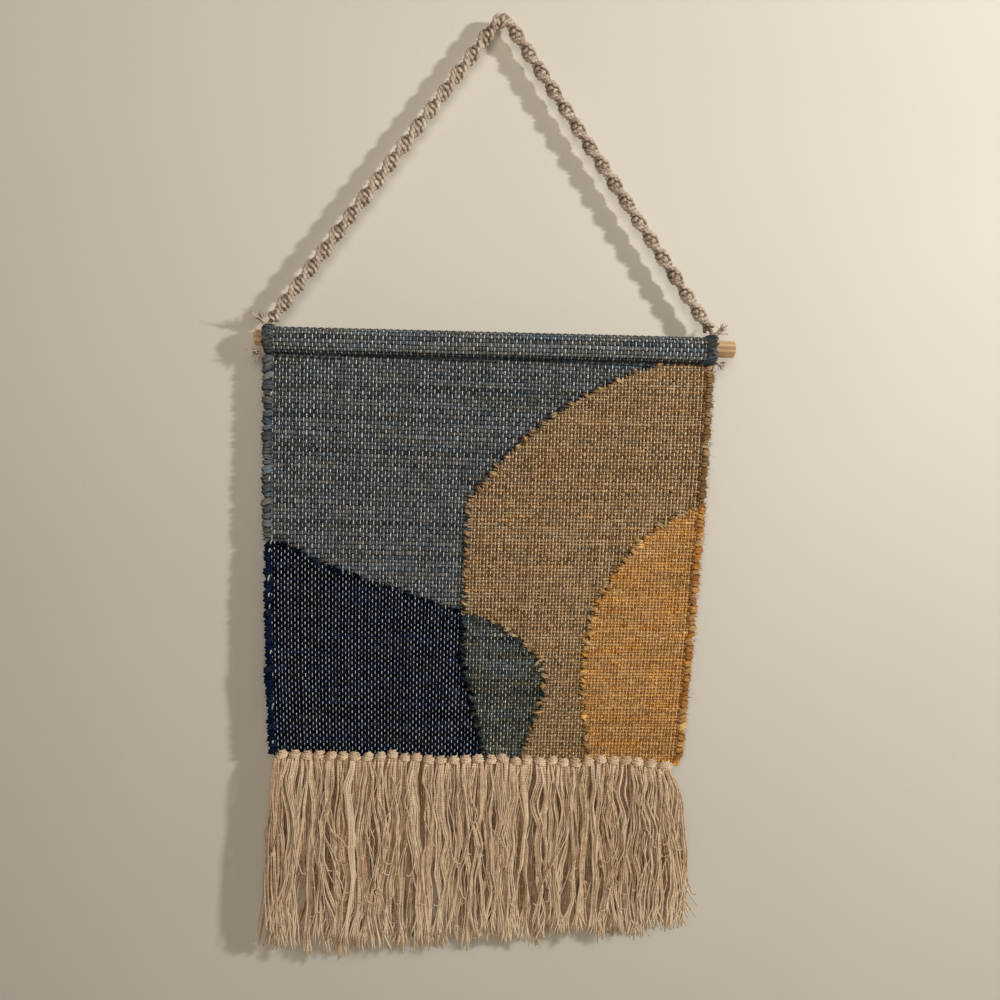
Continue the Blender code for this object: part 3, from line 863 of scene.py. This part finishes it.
def weave_field(field, rows, crossings, seed):
    """One field's weft, row by row. Adds to crossings where each warp end passes each row."""
    rng = np.random.default_rng(seed)
    yarns, dark_backing_and_fuzz = Yarns(6), Yarns(4)
    weave = WEAVES[field]
    over_wide, half_wide = weave["weft"]
    count = 2 * WARP_ENDS + 1
    turned = {-1: None, 1: None}
    for number, row in enumerate(rows):
        tones = row_tones(rng, count) * weave["uneven"][0]
        tints = np.clip(wander(rng, count, 40, 0.35), 0, 0.85) * weave["uneven"][1]
        # Painted shade: the top rows, in the groove under the pocket, are darkened and tinted, fading out
        # to the right.
        fading = np.clip((GROOVE_SHADE_FADES - across_at(HALF_STEPS, row["height"])) / GROOVE_SHADE_FADES, 0.2, 1.0)
        painted_groove_shade = fading * math.exp(-(((PANEL_TOP - row["height"] - 1.5) / 4.5) ** 4))
        lighter = np.clip((LIGHTER_FROM - row["height"]) / LIGHTER_OVER, 0, 1)
        tones = tones - 1.0 * painted_groove_shade + weave["foot"] * lighter
        tints = np.maximum(tints, 0.4 * painted_groove_shade)
        bulge = 1 + wander(rng, count, 5, 0.09)
        drift = wander(rng, count, 14, 0.22)
        for first, last in runs(row["held"]):
            steps = np.arange(2 * first, 2 * last + 3)
            x = across_at(HALF_STEPS[steps], row["height"])
            z = row["height"] - row["lean"] * x + drift[steps]
            end_of = (steps - 1) // 2
            covers = ((end_of == first) & (first > 0)) | ((end_of == last) & (last < WARP_ENDS - 1))
            before = np.where((end_of + number) % 2 == 0, 1.0, -1.0)
            before = np.where(covers, 1.0, before)
            crossing = steps % 2 == 1
            line = on_panel(x, z, np.where(crossing, before * WEFT_SWING, 0.0))
            line[0, 0] += 0.5
            line[-1, 0] -= 0.5
            shares = np.where(crossing, np.where(before > 0, over_wide, 0.50), half_wide)
            wide = row["pitch"] * shares * bulge[steps]
            thick = WEFT_THICK * np.where(crossing, 1.04, 0.88) * (2 - bulge[steps])
            wide[[0, -1]] *= 0.8
            tone = tones[steps] + painted_weft_relief(crossing, before) + rng.normal(0, 0.55, len(steps))
            yarns.add(line, FRONT, wide, thick, tone, tints[steps])
            # A thin near-black ribbon behind each row: a dark sheet of painted shade, filling the gaps
            # between the rows.
            behind = on_panel(x[::2], z[::2] - 0.5 * row["pitch"], 0.0)
            dark_backing_and_fuzz.add(behind, FRONT, 0.34 * row["pitch"], 0.12, 2 * PAINTED_PIT_SHADE, 0.0)
            for end in range(first, last + 1):
                sign = -1.0 if (end + number) % 2 == 0 else 1.0
                edge = (end == first and first > 0) or (end == last and last < WARP_ENDS - 1)
                reach = HIDDEN if edge else weave["show"] * (1.0 if sign < 0 else rng.uniform(0.75, 1.05))
                height = row["z"][end] + drift[2 * end + 1]
                crossings[end].append((height, sign * WARP_SWING, reach, weave["stain"], weave["warp"]))
            for end, out in ((first, -1), (last, 1)):
                due = turned[out] is None or row["height"] < turned[out] - rng.uniform(4.5, 8.0)
                if 1 <= end <= WARP_ENDS - 2 and due:
                    add_join(yarns, rng, field, row, end, out)
                    turned[out] = row["height"]
    add_fuzz(dark_backing_and_fuzz, rng, rows)
    return yarns, dark_backing_and_fuzz


def add_fuzz(yarns, rng, rows):
    """Loose wool fibres that lie over a field's face."""
    for row in rows:
        ends = np.flatnonzero(row["held"])
        for end in rng.choice(ends, max(len(ends) // 6, 1)):
            x = across_at(WARP_PLACES[end], row["height"]) + rng.normal(0, 1.0)
            t = np.linspace(-0.5, 0.5, 4)
            reach = rng.uniform(2.5, 6.0)
            angle = rng.normal(0, 0.5)
            bend = rng.normal(0, 1.6) * t**2
            z = row["z"][end] + rng.normal(0, 1.0) + reach * t * math.sin(angle) + bend
            rise = 1.75 + rng.uniform(0, 0.5) - 1.2 * np.abs(2 * t) ** 2
            line = on_panel(x + reach * t * math.cos(angle), z, rise)
            yarns.add(line, FRONT, 0.15, 0.15, rng.normal(0.8, 1.2), 0.0)


def add_join(yarns, rng, field, row, end, out):
    """Where rows turn back at another colour: a little loop of strands that laps over the neighbour."""
    size, light = JOINS[field]
    edge = across_at((end + 0.5 + out * 0.5) / WARP_ENDS, row["height"])
    z = row["height"] - row["lean"] * edge + rng.normal(0, 0.5)
    reach = rng.uniform(2.0, 3.8) * size
    fall = rng.normal(-0.7 * out, 1.2)
    strands = rng.integers(2, 4)
    own = rng.normal(light, 0.5)
    for strand in range(strands):
        shift = (strand - (strands - 1) / 2) * 1.3
        bend = rng.normal(0, 0.35)
        x = edge + out * reach * np.array((-1.5, -0.8, 0.0, 0.6, 0.9, 1.0)) + rng.normal(0, 0.5)
        rise = np.array((0.6, 1.5, 2.1, 2.0, 1.4, 0.4)) + rng.normal(0, 0.12)
        height = z + shift * np.array((0.7, 0.9, 1.0, 1.0, 0.9, 0.8))
        height = height + fall * np.array((-0.8, -0.5, 0.0, 0.5, 0.8, 0.8)) + bend
        wide = rng.uniform(0.65, 1.0) * np.array((0.7, 1.0, 1.1, 1.05, 0.95, 0.6))
        line = on_panel(x, height, rise)
        yarns.add(line, FRONT, wide, 0.9 * wide, own + rng.normal(0, 0.5), 0.0)
    start = on_panel(edge + out * reach * 0.5, z, 1.9)
    fray(yarns, rng, start, (out * 0.9, -0.35, -0.2), 3, 3.4, 0.17, 0.6)


def weave_pocket(crossings):
    """The rod pocket's weft, from the flap's foot over the dowel to the seam."""
    rng = np.random.default_rng(31)
    yarns = Yarns(6)
    total = POCKET_STEP * (len(POCKET_LINE) - 1)
    rows = int(total / POCKET_PITCH)
    pitch = total / rows
    steps = np.arange(2 * WARP_ENDS + 1)
    crossing = steps % 2 == 1
    x = across_at(HALF_STEPS, PANEL_TOP)
    for number in range(rows):
        along = (number + 0.5) * pitch
        # The last two rows, turning into the groove under the pocket, are darker: painted shade.
        tones = 0.6 * row_tones(rng, len(steps)) + (0.60 if number < rows - 2 else -0.8)
        tints = np.clip(wander(rng, len(steps), 40, 0.30), 0, 0.6)
        bulge = 1 + wander(rng, len(steps), 7, 0.09)
        drift = wander(rng, len(steps), 16, 0.25)
        before = np.where(((steps - 1) // 2 + number) % 2 == 0, 1.0, -1.0)
        swing = np.where(crossing, before * WEFT_SWING, 0.0)
        line, facing = on_pocket(x, np.clip(along + drift, 0, total), swing)
        wide = pitch * np.where(crossing, 0.56, 0.50) * bulge
        yarns.add(line, facing, wide, WEFT_THICK, tones + painted_weft_relief(crossing, before), tints)
        for end in range(WARP_ENDS):
            sign = -1.0 if (end + number) % 2 == 0 or number == rows - 1 else 1.0
            crossings[end].append((along + drift[2 * end + 1], sign * WARP_SWING))

    # The sewn row, drawn back into the groove under the pocket and coloured very dark: painted shade in
    # the groove
    drift = wander(rng, len(steps), 9, 0.3)
    line, facing = on_pocket(x, total + 0.0 * x, -0.2)
    line[:, 2] += drift
    yarns.add(line, facing, 2.3, 0.8, -2.2 + wander(rng, len(steps), 4, 0.35), 0.85)
    return yarns


def lay_warp(yarns, rng, end, pocket_crossings, panel_crossings):
    """One warp end: from the flap's foot over the dowel and down the panel into the fringe's knots."""
    u = WARP_PLACES[end]
    along, out = (np.array(column) for column in zip(*pocket_crossings))
    pocket, facing = on_pocket(float(across_at(u, PANEL_TOP)), along, out)
    cells = sorted(panel_crossings, reverse=True)
    z, swing, show, stain, wide = (np.array(column) for column in zip(*cells))
    keep = np.concatenate([[True], np.diff(z) < -1.2])
    z, swing, show, stain, wide = z[keep], swing[keep], show[keep], stain[keep], wide[keep]
    swing = np.where(swing > 0, swing * np.where(show > 0, 0.35 + 0.65 * show, show), swing)
    swing[0] = -WARP_SWING
    z = np.concatenate([z, [min(PANEL_BOTTOM - 3.0, z[-1] - 1.0)]])
    swing = np.concatenate([swing, [0.0]])
    panel = on_panel(across_at(u, np.maximum(z, PANEL_BOTTOM)), z, swing)
    facing = np.vstack([facing, np.broadcast_to(FRONT, panel.shape)])
    knots = np.vstack([pocket, panel])
    line = np.empty((2 * len(knots) - 1, 3))
    line[::2] = knots
    line[1::2] = (knots[1:] + knots[:-1]) / 2
    face = np.empty_like(line)
    face[::2] = facing
    face[1::2] = unit(facing[1:] + facing[:-1])
    halves = np.arange(len(line)) / 2
    stain = np.concatenate([np.zeros(len(pocket)), stain, stain[-1:]])
    stain = np.interp(halves, np.arange(len(stain)), stain)
    wide = np.concatenate([np.full(len(pocket), WARP_WIDE), wide, wide[-1:]])
    wide = np.interp(halves, np.arange(len(wide)), wide)
    tones = rng.normal(0.3, 0.4) + wander(rng, len(line), 9, 0.35) + wander(rng, len(line), 2, 0.9)
    wide = wide * rng.uniform(0.85, 1.15) * np.clip(1 + wander(rng, len(line), 2, 0.18), 0.6, 1.4)
    yarns.add(line, face, wide, WARP_THICK, tones, np.clip(stain + wander(rng, len(line), 6, 0.1), 0, 1))


def flat_area(rows):
    """A field's flat area in square metres: each row's pitch times the warp spacing it covers."""
    total = 0.0
    for row in rows:
        spacing = (right_edge(row["height"]) - left_edge(row["height"]) - 2 * SELVEDGE) / WARP_ENDS
        total += row["held"].sum() * spacing * row["pitch"]
    return total * MM * MM


def edge_coil(yarns, rng, path, facing, half_width, half_depth, pitch, yarn, loose, tint, light):
    """Weft that turns back round a side edge, turn after turn, along the edge's path.

    Each turn lies level across the front and steps down behind, and narrows where it goes round the
    side. The yarn is (wide, thick), and strands of it lie side by side in a turn.
    """
    along = lengths_along(path)
    turns, s = [], 0.0
    while s < along[-1]:
        turns.append(s)
        s += pitch * rng.uniform(1 - 0.45 * loose, 1 + 0.45 * loose)
    turns.append(along[-1])
    out_line = path + facing
    share = np.linspace(0, 1, 17)
    angle = 2 * math.pi * share - math.pi / 2
    advance = np.interp(share, (0, 0.2, 0.8, 1), (-0.25, 0.12, 0.4, 0.75))
    for start, following in zip(turns, turns[1:]):
        gap = following - start
        size = gap / pitch
        shift = rng.normal(0, 0.6 * loose)
        tone = rng.normal(light, 0.8)
        own_tint = np.clip(rng.normal(tint, 0.35), 0, 1)
        tilt = rng.normal(0, 0.16 * gap)
        fat = rng.uniform(0.84, 1.14) * min(size, 1.1) ** 0.5
        for strand in range(EDGE_STRANDS):
            offset = 0.25 + 0.38 * (strand - (EDGE_STRANDS - 1) / 2) + rng.normal(0, 0.03)
            marks = start + gap * (advance + offset) + tilt * np.cos(angle)
            centre = at_lengths(path, np.clip(marks, 0, along[-1]))
            out = unit(at_lengths(out_line, np.clip(marks, 0, along[-1])) - centre)
            reach = half_width * fat + rng.normal(0, 0.35 * loose)
            line = centre + ACROSS * (reach * np.cos(angle) + shift)[:, None]
            line = line + out * (half_depth * fat * np.sin(angle))[:, None]
            radial = unit(ACROSS * np.cos(angle)[:, None] + out * np.sin(angle)[:, None])
            narrowing = 0.72 + 0.28 * np.abs(np.sin(angle))
            wide = yarn[0] * size / EDGE_STRANDS * rng.uniform(0.9, 1.1) * narrowing
            # Painted shade: each turn is darker where it goes round the side.
            depth = tone + rng.normal(0, 0.3) - 1.2 * np.abs(np.cos(angle)) ** 6
            yarns.add(line, radial, wide, yarn[1] * rng.uniform(0.85, 1.15), depth, own_tint)


def edge_path(edge, inward, top, foot):
    """The middle of a side edge's band down the panel."""
    z = np.arange(top, foot, -2.0)
    return on_panel(edge(z) + inward * EDGE_INSET, z, 0.0)


def make_panel_edges():
    """The bands at the panel's sides where the weft turns back, each in its field's yarn."""
    made = {}
    for number, (node, side, pitch, yarn, loose, tint, half_width, light, hairs) in enumerate(EDGES):
        rng = np.random.default_rng(50 + number)
        edge, inward, below = (left_edge, 1, 3.0) if side == "left" else (right_edge, -1, 6.0)
        low, high = low_high(node)
        at_corner = low[2] <= PANEL_BOTTOM + 1.0
        path = edge_path(edge, inward, high[2], low[2] - (below if at_corner else 0.0))
        if node == "selvedge_left_grey":
            path = path - ACROSS * GREY_EDGE_OUT
        if node == "selvedge_right_orange":
            turning_in = np.clip((PANEL_BOTTOM + 14.0 - path[:, 2]) / 18.0, 0, 1) ** 1.5
            path = path - ACROSS * (3.0 * turning_in)[:, None]
        yarns = Yarns(8)
        edge_coil(yarns, rng, path, FRONT, half_width, 1.3, pitch, yarn, loose, tint, light)
        # A near-black core along the band, seen between the turns: painted shade.
        yarns.add(path, FRONT, 2.4, 1.3, -2.2, tint)
        add_edge_hairs(yarns, rng, path, inward, hairs)
        finish = node.split("_")[-1] + "_wool"
        made[node] = yarns.piece(node.replace("selvedge", "edge"), "panel", finish, node)
    return made


def add_edge_hairs(yarns, rng, path, inward, per_mm):
    """Loose wool fibres that stand off a side edge."""
    total = lengths_along(path)[-1]
    for _ in range(int(total * per_mm)):
        start = at_lengths(path, np.array([rng.uniform(0, total)]))[0]
        start = start - ACROSS * inward * rng.uniform(2.2, 3.8) + FRONT * rng.uniform(-0.5, 2.2)
        towards = np.array((-inward * 1.0, -0.35, rng.normal(0, 0.5)))
        fray(yarns, rng, start, towards, 1, rng.uniform(2.0, 4.6), 0.16, 0.25, 0.2)


def make_pocket_edges():
    """The pocket's turned ends: the side edges carry on up over the dowel and down behind."""
    made = {}
    for side, x, seed in (("left", POCKET_LEFT + 4.5, 61), ("right", POCKET_RIGHT - 4.5, 62)):
        rng = np.random.default_rng(seed)
        path = POCKET_LINE.copy()
        path[:, 0] = x
        path = path + POCKET_OUT * 1.2
        yarns = Yarns(8)
        edge_coil(yarns, rng, path, POCKET_OUT, 3.3, 0.8, *POCKET_EDGE)
        # A near-black core along the pocket's end, seen between the turns: painted shade.
        yarns.add(path, POCKET_OUT, 2.8, 1.2, -2.0, 0.6)
        node = f"sleeve_end_{side}"
        made[node] = yarns.piece(f"pocket_end_{side}", "panel", "grey_wool", node)
    return made


def make_seam_stitches():
    """Running stitches through the flap, seen from behind."""
    yarns = Yarns(6)
    y = low_high("seam_stitching")[0][1]
    left, right = POCKET_LEFT + 9.0, POCKET_RIGHT - 9.0
    stitch, gap = 7.0, 3.2
    x = left
    while x + stitch < right:
        t = np.linspace(0, 1, 9)
        depth = y + 1.4 - 3.4 * np.abs(2 * t - 1) ** 3
        line = np.stack([x + stitch * t, depth, SEAM_Z + 0.5 * (t - 0.5)], -1)
        yarns.add(line, -FRONT, 0.45, 0.4, 0.0)
        x += stitch + gap
    return yarns.piece("seam_thread", "panel", "stitching", "seam_stitching")


def make_weave():
    """The whole cloth. Returns its pieces, and for each field its pieces, flat size and flat area."""
    field_at = field_finder()
    panel_crossings = [[] for _ in range(WARP_ENDS)]
    pocket_crossings = [[] for _ in range(WARP_ENDS)]
    sheets = {}
    for number, field in enumerate(FIELDS):
        rows = field_rows(field, field_at)
        yarns, dark_backing_and_fuzz = weave_field(field, rows, panel_crossings, 20 + number)
        finish = field.replace("_field", "_wool")
        piece = yarns.piece(field.replace("_field", "_weft"), "panel", finish, field)
        # These pieces hold the loose fibres and the near-black backing ribbons of painted shade.
        fuzz_and_dark_backing = dark_backing_and_fuzz.piece(field.replace("_field", "_fuzz"), "panel", finish)
        low, high = low_high(field)
        flat = ((high - low)[0] * MM, (high - low)[2] * MM)
        sheets[field] = (piece, fuzz_and_dark_backing, flat, flat_area(rows))
    pocket = weave_pocket(pocket_crossings)
    pocket = pocket.piece("pocket_weft", "panel", "grey_wool", "sleeve", "sleeve_flap")
    warps = []
    rng = np.random.default_rng(40)
    half = WARP_ENDS // 2
    for name, ends in (("warp_left", range(half)), ("warp_right", range(half, WARP_ENDS))):
        yarns = Yarns(4)
        for end in ends:
            lay_warp(yarns, rng, end, pocket_crossings[end], panel_crossings[end])
        if name == "warp_left":
            add_bare_warp(yarns, rng)
        warps.append(yarns.piece(name, "panel", "warp_cotton", slot="fringe_cotton"))
    return sheets, pocket, warps


def add_bare_warp(yarns, rng):
    """Short stretches of the outermost warp end that lie bare over the left edge's turns of weft."""
    for share in BARE_WARP:
        z = PANEL_TOP + (PANEL_BOTTOM - PANEL_TOP) * share
        half = rng.uniform(1.8, 3.6)
        t = np.linspace(-1, 1, 7)
        x = left_edge(z) + rng.uniform(5.2, 7.4) + 0.7 * t
        rise = 3.2 - 2.6 * np.abs(t) ** 3
        yarns.add(on_panel(x, z + half * t, rise), FRONT, 0.75, 0.6, rng.normal(0.6, 0.3), 0.0)


# Fringe


def tassels():
    """Each tassel's body name, its hinge and its tip's height, from the frame."""
    found = []
    for joint in frame["joints"]:
        if joint["child"].startswith("tassel_"):
            hinge = np.array(joint["pos_m"]) / MM
            found.append((joint["child"], hinge, low_high(joint["child"])[0][2]))
    return found


def knot_lift(x):
    """How far a knot sits above or below the others along the bottom edge."""
    return sum(size * math.exp(-(((x - place) / width) ** 2)) for place, width, size in KNOT_LIFTS)


def make_knots(places):
    """The lark's head knots: the doubled threads' wraps, drawn tight into a dome on the bottom edge."""
    rng = np.random.default_rng(70)
    yarns = Yarns(6)
    turn = np.linspace(0, 2 * math.pi, 17)
    for _body, hinge, _tip in places:
        lift = knot_lift(hinge[0]) + rng.normal(0, 0.6)
        back = float(stand_out(hinge[0], PANEL_BOTTOM))
        centre = np.array((hinge[0] + rng.normal(0, 0.35), back, hinge[2] + 2.6 + lift))
        tilt = rng.normal(0, 0.15)
        half_width = rng.uniform(5.0, 5.9)
        if hinge[0] > LAST_FROM:
            half_width, centre[0] = 7.6, centre[0] + 2.2
        tone = rng.normal(1.0, 0.3)
        for level in KNOT_LEVELS:
            dome = math.sqrt(max(1 - (max(level, 0.0) / 4.6) ** 2, 0.05))
            brim = 1.08 if -1.5 < level < 1.0 else 0.98
            x = (half_width * dome * brim - 0.8) * np.cos(turn)
            y = (4.1 * dome * brim) * np.sin(turn)
            z = level + 0.3 * np.sin(turn + rng.uniform(0, 6)) + (tilt + rng.normal(0, 0.09)) * x
            radial = unit(np.stack([x, y, 0 * x], -1))
            line = centre + np.stack([x, y, z], -1)
            yarns.add(line, radial, 1.05, 0.95 * rng.uniform(0.9, 1.2), tone + rng.normal(0, 0.3))
        core = centre + np.outer(np.linspace(3.4, -3.8, 7), (0, 0, 1))
        profile = np.array((0.35, 0.75, 0.95, 1.0, 1.0, 1.0, 0.9))
        yarns.add(core, FRONT, (half_width - 1.3) * profile, 3.1 * profile, -0.2)
    return yarns.piece("fringe_knots", "panel", "fringe_cotton")


def fan(x):
    """How far the fringe's outermost threads lean outwards by their tips, at the fringe's two ends."""
    return -12.0 * math.exp(-(x - FRINGE_LEFT) / 14) + 34.0 * math.exp(-(FRINGE_RIGHT - x) / 24)


def make_ribbons(rng, t, opening, last):
    """The ribbons that a tassel's threads lie in, from its front to its back."""
    count = len(t)
    ribbons = []
    for depth, place in RIBBONS:
        rear = depth > 4
        waves = rng.uniform(0.7, 1.5)
        sway = rng.uniform(1.5, 4.6) * np.sin(2 * math.pi * (waves * t + rng.random()))
        sway = sway * np.clip(t * 3, 0, 1)
        turning = rng.uniform(-0.6, 0.9) + np.cumsum(wander(rng, count, 6, 1.0)) * 3.4 / count
        x = place + rng.normal(0, 0.9)
        y = depth + rng.normal(0, 0.6)
        half = rng.uniform(2.8, 4.6) + (3.6 if rear else 0.0) + (1.6 if last else 0.0)
        path = sway + wander(rng, count, 3.6, 1.8) * opening + rng.normal(0, 1.0 if rear else 4.2) * t**1.3
        crimp = wander(rng, count, 2.0, 0.55) * opening
        length = rng.normal(0, 6.0)
        # Ribbons further back are darker: painted shade.
        tone = rng.normal(0.0, 0.4) - 0.22 * depth
        ribbons.append((x, y, half, turning, path, crimp, length, tone))
    return ribbons


def make_tassel(number, body, hinge, tip):
    """One tassel's threads: ribbons that wave, turn and lap over each other, strays, and cut tips."""
    rng = np.random.default_rng(100 + number)
    yarns = Yarns(5)
    count = THREAD_POINTS
    t = np.linspace(0, 1, count)
    opening = np.clip(t * 9, 0, 1)
    last = hinge[0] > LAST_FROM
    lift = knot_lift(hinge[0])
    back = float(stand_out(hinge[0], PANEL_BOTTOM))
    from_left, from_right = hinge[0] - FRINGE_LEFT, FRINGE_RIGHT - hinge[0]
    drop = hinge[2] + lift - tip - 7.0 * math.exp(-from_left / 30) - 10.0 * math.exp(-from_right / 14)
    leaning = fan(hinge[0]) * (0.50 * opening * t**0.25 + 0.50 * t)
    ribbons = make_ribbons(rng, t, opening, last)
    for thread in range(THREADS_PER_TASSEL + (EXTRA_THREADS if last else 0)):
        place, depth, half, turning, path, crimp, longer, tone = ribbons[thread % len(ribbons)]
        stray = rng.random() < STRAYS
        loose = 4.0 if stray else 1.0
        beside = half * rng.uniform(-1, 1)
        narrow = 0.62 + 0.55 * opening + 0.14 * np.sin(2 * math.pi * (t + rng.random() * 0.1))
        length = drop + longer + rng.normal(0, 2.4)
        hooked = stray and rng.random() < 0.60
        if hooked:
            length *= rng.uniform(0.5, 0.97)
        x = place + beside * np.cos(turning) * narrow
        x = x + path + crimp + rng.normal(0, 0.9 * loose) * t**1.5
        x = x + wander(rng, count, 3.0, 0.24 * loose) * opening
        x = x + leaning * rng.uniform(0.0, 1.05) * (0.8 if last else 1.0)
        y = depth * (0.5 + 0.6 * opening) + beside * 0.35 * np.sin(turning)
        y = y + wander(rng, count, 5, 0.35) - (2.2 * opening if stray else 0.0)
        z = hinge[2] + lift - 0.4 - length * t
        if hooked:
            x, y, z = curl_end(rng, x, y, z, length)
        else:
            x = x + rng.normal(0, 3.6) * np.clip((t - 0.84) / 0.16, 0, 1) ** 1.5
        line = np.stack([hinge[0] + x, back + y, z], -1)
        thick = np.full(count, THREAD_RADIUS * rng.uniform(0.80, 1.15) * (0.72 if stray else 1.0))
        thick[-1] *= 0.8
        tones = tone + rng.normal(0.0, 0.5) + wander(rng, count, 4, 0.3) + 2.2 * t**9
        if stray:
            tones = tones + 0.8
        yarns.add(line, FRONT, thick * 1.05, thick, tones, 0.0)
    piece = yarns.piece(f"threads_{number:02d}", None, "fringe_cotton", body)
    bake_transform(piece)
    return piece


def curl_end(rng, x, y, z, length):
    """A thread whose last stretch strays outwards and turns up in a curved hook."""
    count = len(x)
    hook = count // 4
    radius = rng.uniform(1.8, 4.0)
    side = rng.choice((-1, 1))
    turn = np.linspace(0, rng.uniform(1.6, 3.4), hook)
    keep = count - hook
    spaced = np.linspace(0, count - 1 - hook * 0.4, keep)
    x, y, z = (np.interp(spaced, np.arange(count), line) for line in (x, y, z))
    lean = side * rng.uniform(0.0, 0.10) * length * np.clip(np.linspace(-1, 1, keep), 0, 1) ** 1.5
    x, y = x + lean, y - 1.5 * np.clip(np.linspace(-1, 1, keep), 0, 1)
    x = np.concatenate([x, x[-1] + side * radius * (1 - np.cos(turn))])
    z = np.concatenate([z, z[-1] - radius * np.sin(turn)])
    return x, np.concatenate([y, np.full(hook, y[-1])]), z


def make_fringe():
    places = tassels()
    knots = make_knots(places)
    threads = [make_tassel(k + 1, *place) for k, place in enumerate(places)]
    return knots, threads


# Dowel


def make_dowel():
    """The round rod, its sawn ends eased by hand so that no edge is quite even."""
    rng = np.random.default_rng(80)
    sides = 56
    left, right = DOWEL_LOW[0], DOWEL_HIGH[0]
    r = DOWEL_RADIUS
    profile = [(left, r - 0.9), (left + 0.25, r - 0.35), (left + 0.8, r)]
    profile += [(x, r) for x in np.linspace(left + 12, right - 12, 9)]
    profile += [(right - 0.8, r), (right - 0.25, r - 0.35), (right, r - 0.9)]
    points, faces = [], []
    wear = wander(rng, sides, 5, 0.10)
    wear[-4:] = np.linspace(wear[-4], wear[0], 4)
    for x, radius in profile:
        near_end = min(x - left, right - x) < 0.7
        for k in range(sides):
            a = 2 * math.pi * k / sides
            own = radius - (abs(wear[k]) if near_end else 0.0)
            points.append((x, own * math.cos(a), DOWEL_Z + own * math.sin(a)))
    for ring in range(len(profile) - 1):
        for k in range(sides):
            a, b = ring * sides + k, ring * sides + (k + 1) % sides
            faces.append((a, b, b + sides, a + sides))
    last = (len(profile) - 1) * sides
    faces.append(tuple(range(sides))[::-1])
    faces.append(tuple(last + k for k in range(sides)))
    mesh = bpy.data.meshes.new("dowel_rod")
    mesh.from_pydata((np.array(points) * MM).tolist(), [], faces)
    mesh.shade_smooth()
    mesh.set_sharp_from_angle(angle=math.radians(40))
    settle(mesh, "dowel", "wood", "dowel")


# Camera, stage and light

CAMERA_AT = Vector((0.0088, -0.7424, -0.4068))
CAMERA_DOWN = 2.8  # degrees
CAMERA_ROLL = 1.452  # degrees
CAMERA_LENS = 27.72
WALL_Y = 14.0
WALL_LEAN = 0.016  # how fast the wall falls back from the hanging, going down
FLOOR_Z = -1500.0


def make_camera():
    data = bpy.data.cameras.new("camera")
    data.sensor_width = 36.0
    data.lens = CAMERA_LENS
    camera = placed("camera", data)
    turn = Matrix.Rotation(math.radians(90 - CAMERA_DOWN), 4, "X")
    roll = Matrix.Rotation(math.radians(CAMERA_ROLL), 4, "Z")
    camera.matrix_world = Matrix.Translation(CAMERA_AT) @ turn @ roll
    bpy.context.scene.camera = camera


def make_stage():
    """A pale wall, clear to a view and to the light from behind it, and a pale floor."""
    wall = Finish("wall_paint", 0.9, 0.25)
    tone = wall.noise(wall.place(), 2.2, 2)
    wall.colour(wall.ramp(tone, [(0.3, (0.70, 0.68, 0.60)), (0.7, (0.74, 0.72, 0.64))]))
    wall.bump(wall.noise(wall.place(), 420, 3), 0.4 * MM, 0.25)
    behind = wall.node("ShaderNodeNewGeometry").outputs["Backfacing"]
    shadow = wall.node("ShaderNodeLightPath").outputs["Is Shadow Ray"]
    clear = wall.node("ShaderNodeBsdfTransparent").outputs[0]
    inputs = {0: wall.maths("MAXIMUM", behind, shadow), 1: wall.shader.outputs[0], 2: clear}
    both = wall.node("ShaderNodeMixShader", inputs).outputs[0]
    wall.links.new(both, wall.nodes["Material Output"].inputs["Surface"])
    floor = Finish("floor_paint", 0.85, 0.25)
    tone = floor.noise(floor.place(), 3, 2)
    floor.colour(floor.ramp(tone, [(0.3, (0.62, 0.59, 0.54)), (0.7, (0.66, 0.63, 0.58))]))
    wide, high, deep = 1100.0, 700.0, 1600.0
    top_y = WALL_Y - WALL_LEAN * high
    foot_y = WALL_Y - WALL_LEAN * FLOOR_Z
    meet = [(-wide, foot_y, FLOOR_Z), (wide, foot_y, FLOOR_Z)]
    wall_corners = [*meet, (wide, top_y, high), (-wide, top_y, high)]
    floor_corners = [(-wide, -deep, FLOOR_Z), (wide, -deep, FLOOR_Z), *reversed(meet)]
    for name, finish, corners in (("wall", wall, wall_corners), ("floor", floor, floor_corners)):
        mesh = bpy.data.meshes.new(name)
        mesh.from_pydata([tuple(c * MM for c in corner) for corner in corners], [], [(0, 1, 2, 3)])
        mesh.materials.append(finish.material)
        obj = placed(name, mesh)


def make_light(name, at, aim, size, power, colour):
    data = bpy.data.lights.new(name, "AREA")
    data.shape = "DISK"
    data.size = size
    data.energy = power
    data.color = colour
    light = placed(name, data)
    light.location = at
    light.rotation_mode = "QUATERNION"
    light.rotation_quaternion = (Vector(aim) - Vector(at)).to_track_quat("-Z", "Y")
    light.visible_camera = False


def make_lights():
    make_light("key", (1.62, -1.08, 0.06), (0.30, 0.0, 0.20), 0.16, 28.0, (0.985, 0.96, 0.92))
    make_light("fill", (0.0, -1.3, 0.08), (0.0, 0.0, 0.3), 0.9, 7.0, (1.0, 0.88, 0.785))
    make_light("rear", (-0.9, 1.7, 0.5), (0.0, 0.0, -0.45), 1.4, 34.0, (1.0, 0.95, 0.9))
    world = bpy.data.worlds.new("room")
    world.use_nodes = True
    background = world.node_tree.nodes["Background"]
    background.inputs[0].default_value = (0.15, 0.131, 0.115, 1)
    background.inputs[1].default_value = 1.0
    bpy.context.scene.world = world
    bpy.context.scene.view_settings.view_transform = "Standard"


# The scene

make_camera()
make_stage()
make_lights()
make_finishes()

sinnet, route, cord_length = make_hanger()
make_hanger_ends()
make_dowel()
sheets, pocket, warps = make_weave()
edges = make_panel_edges()
pocket_ends_made = make_pocket_edges()
seam = make_seam_stitches()
knots, threads = make_fringe()
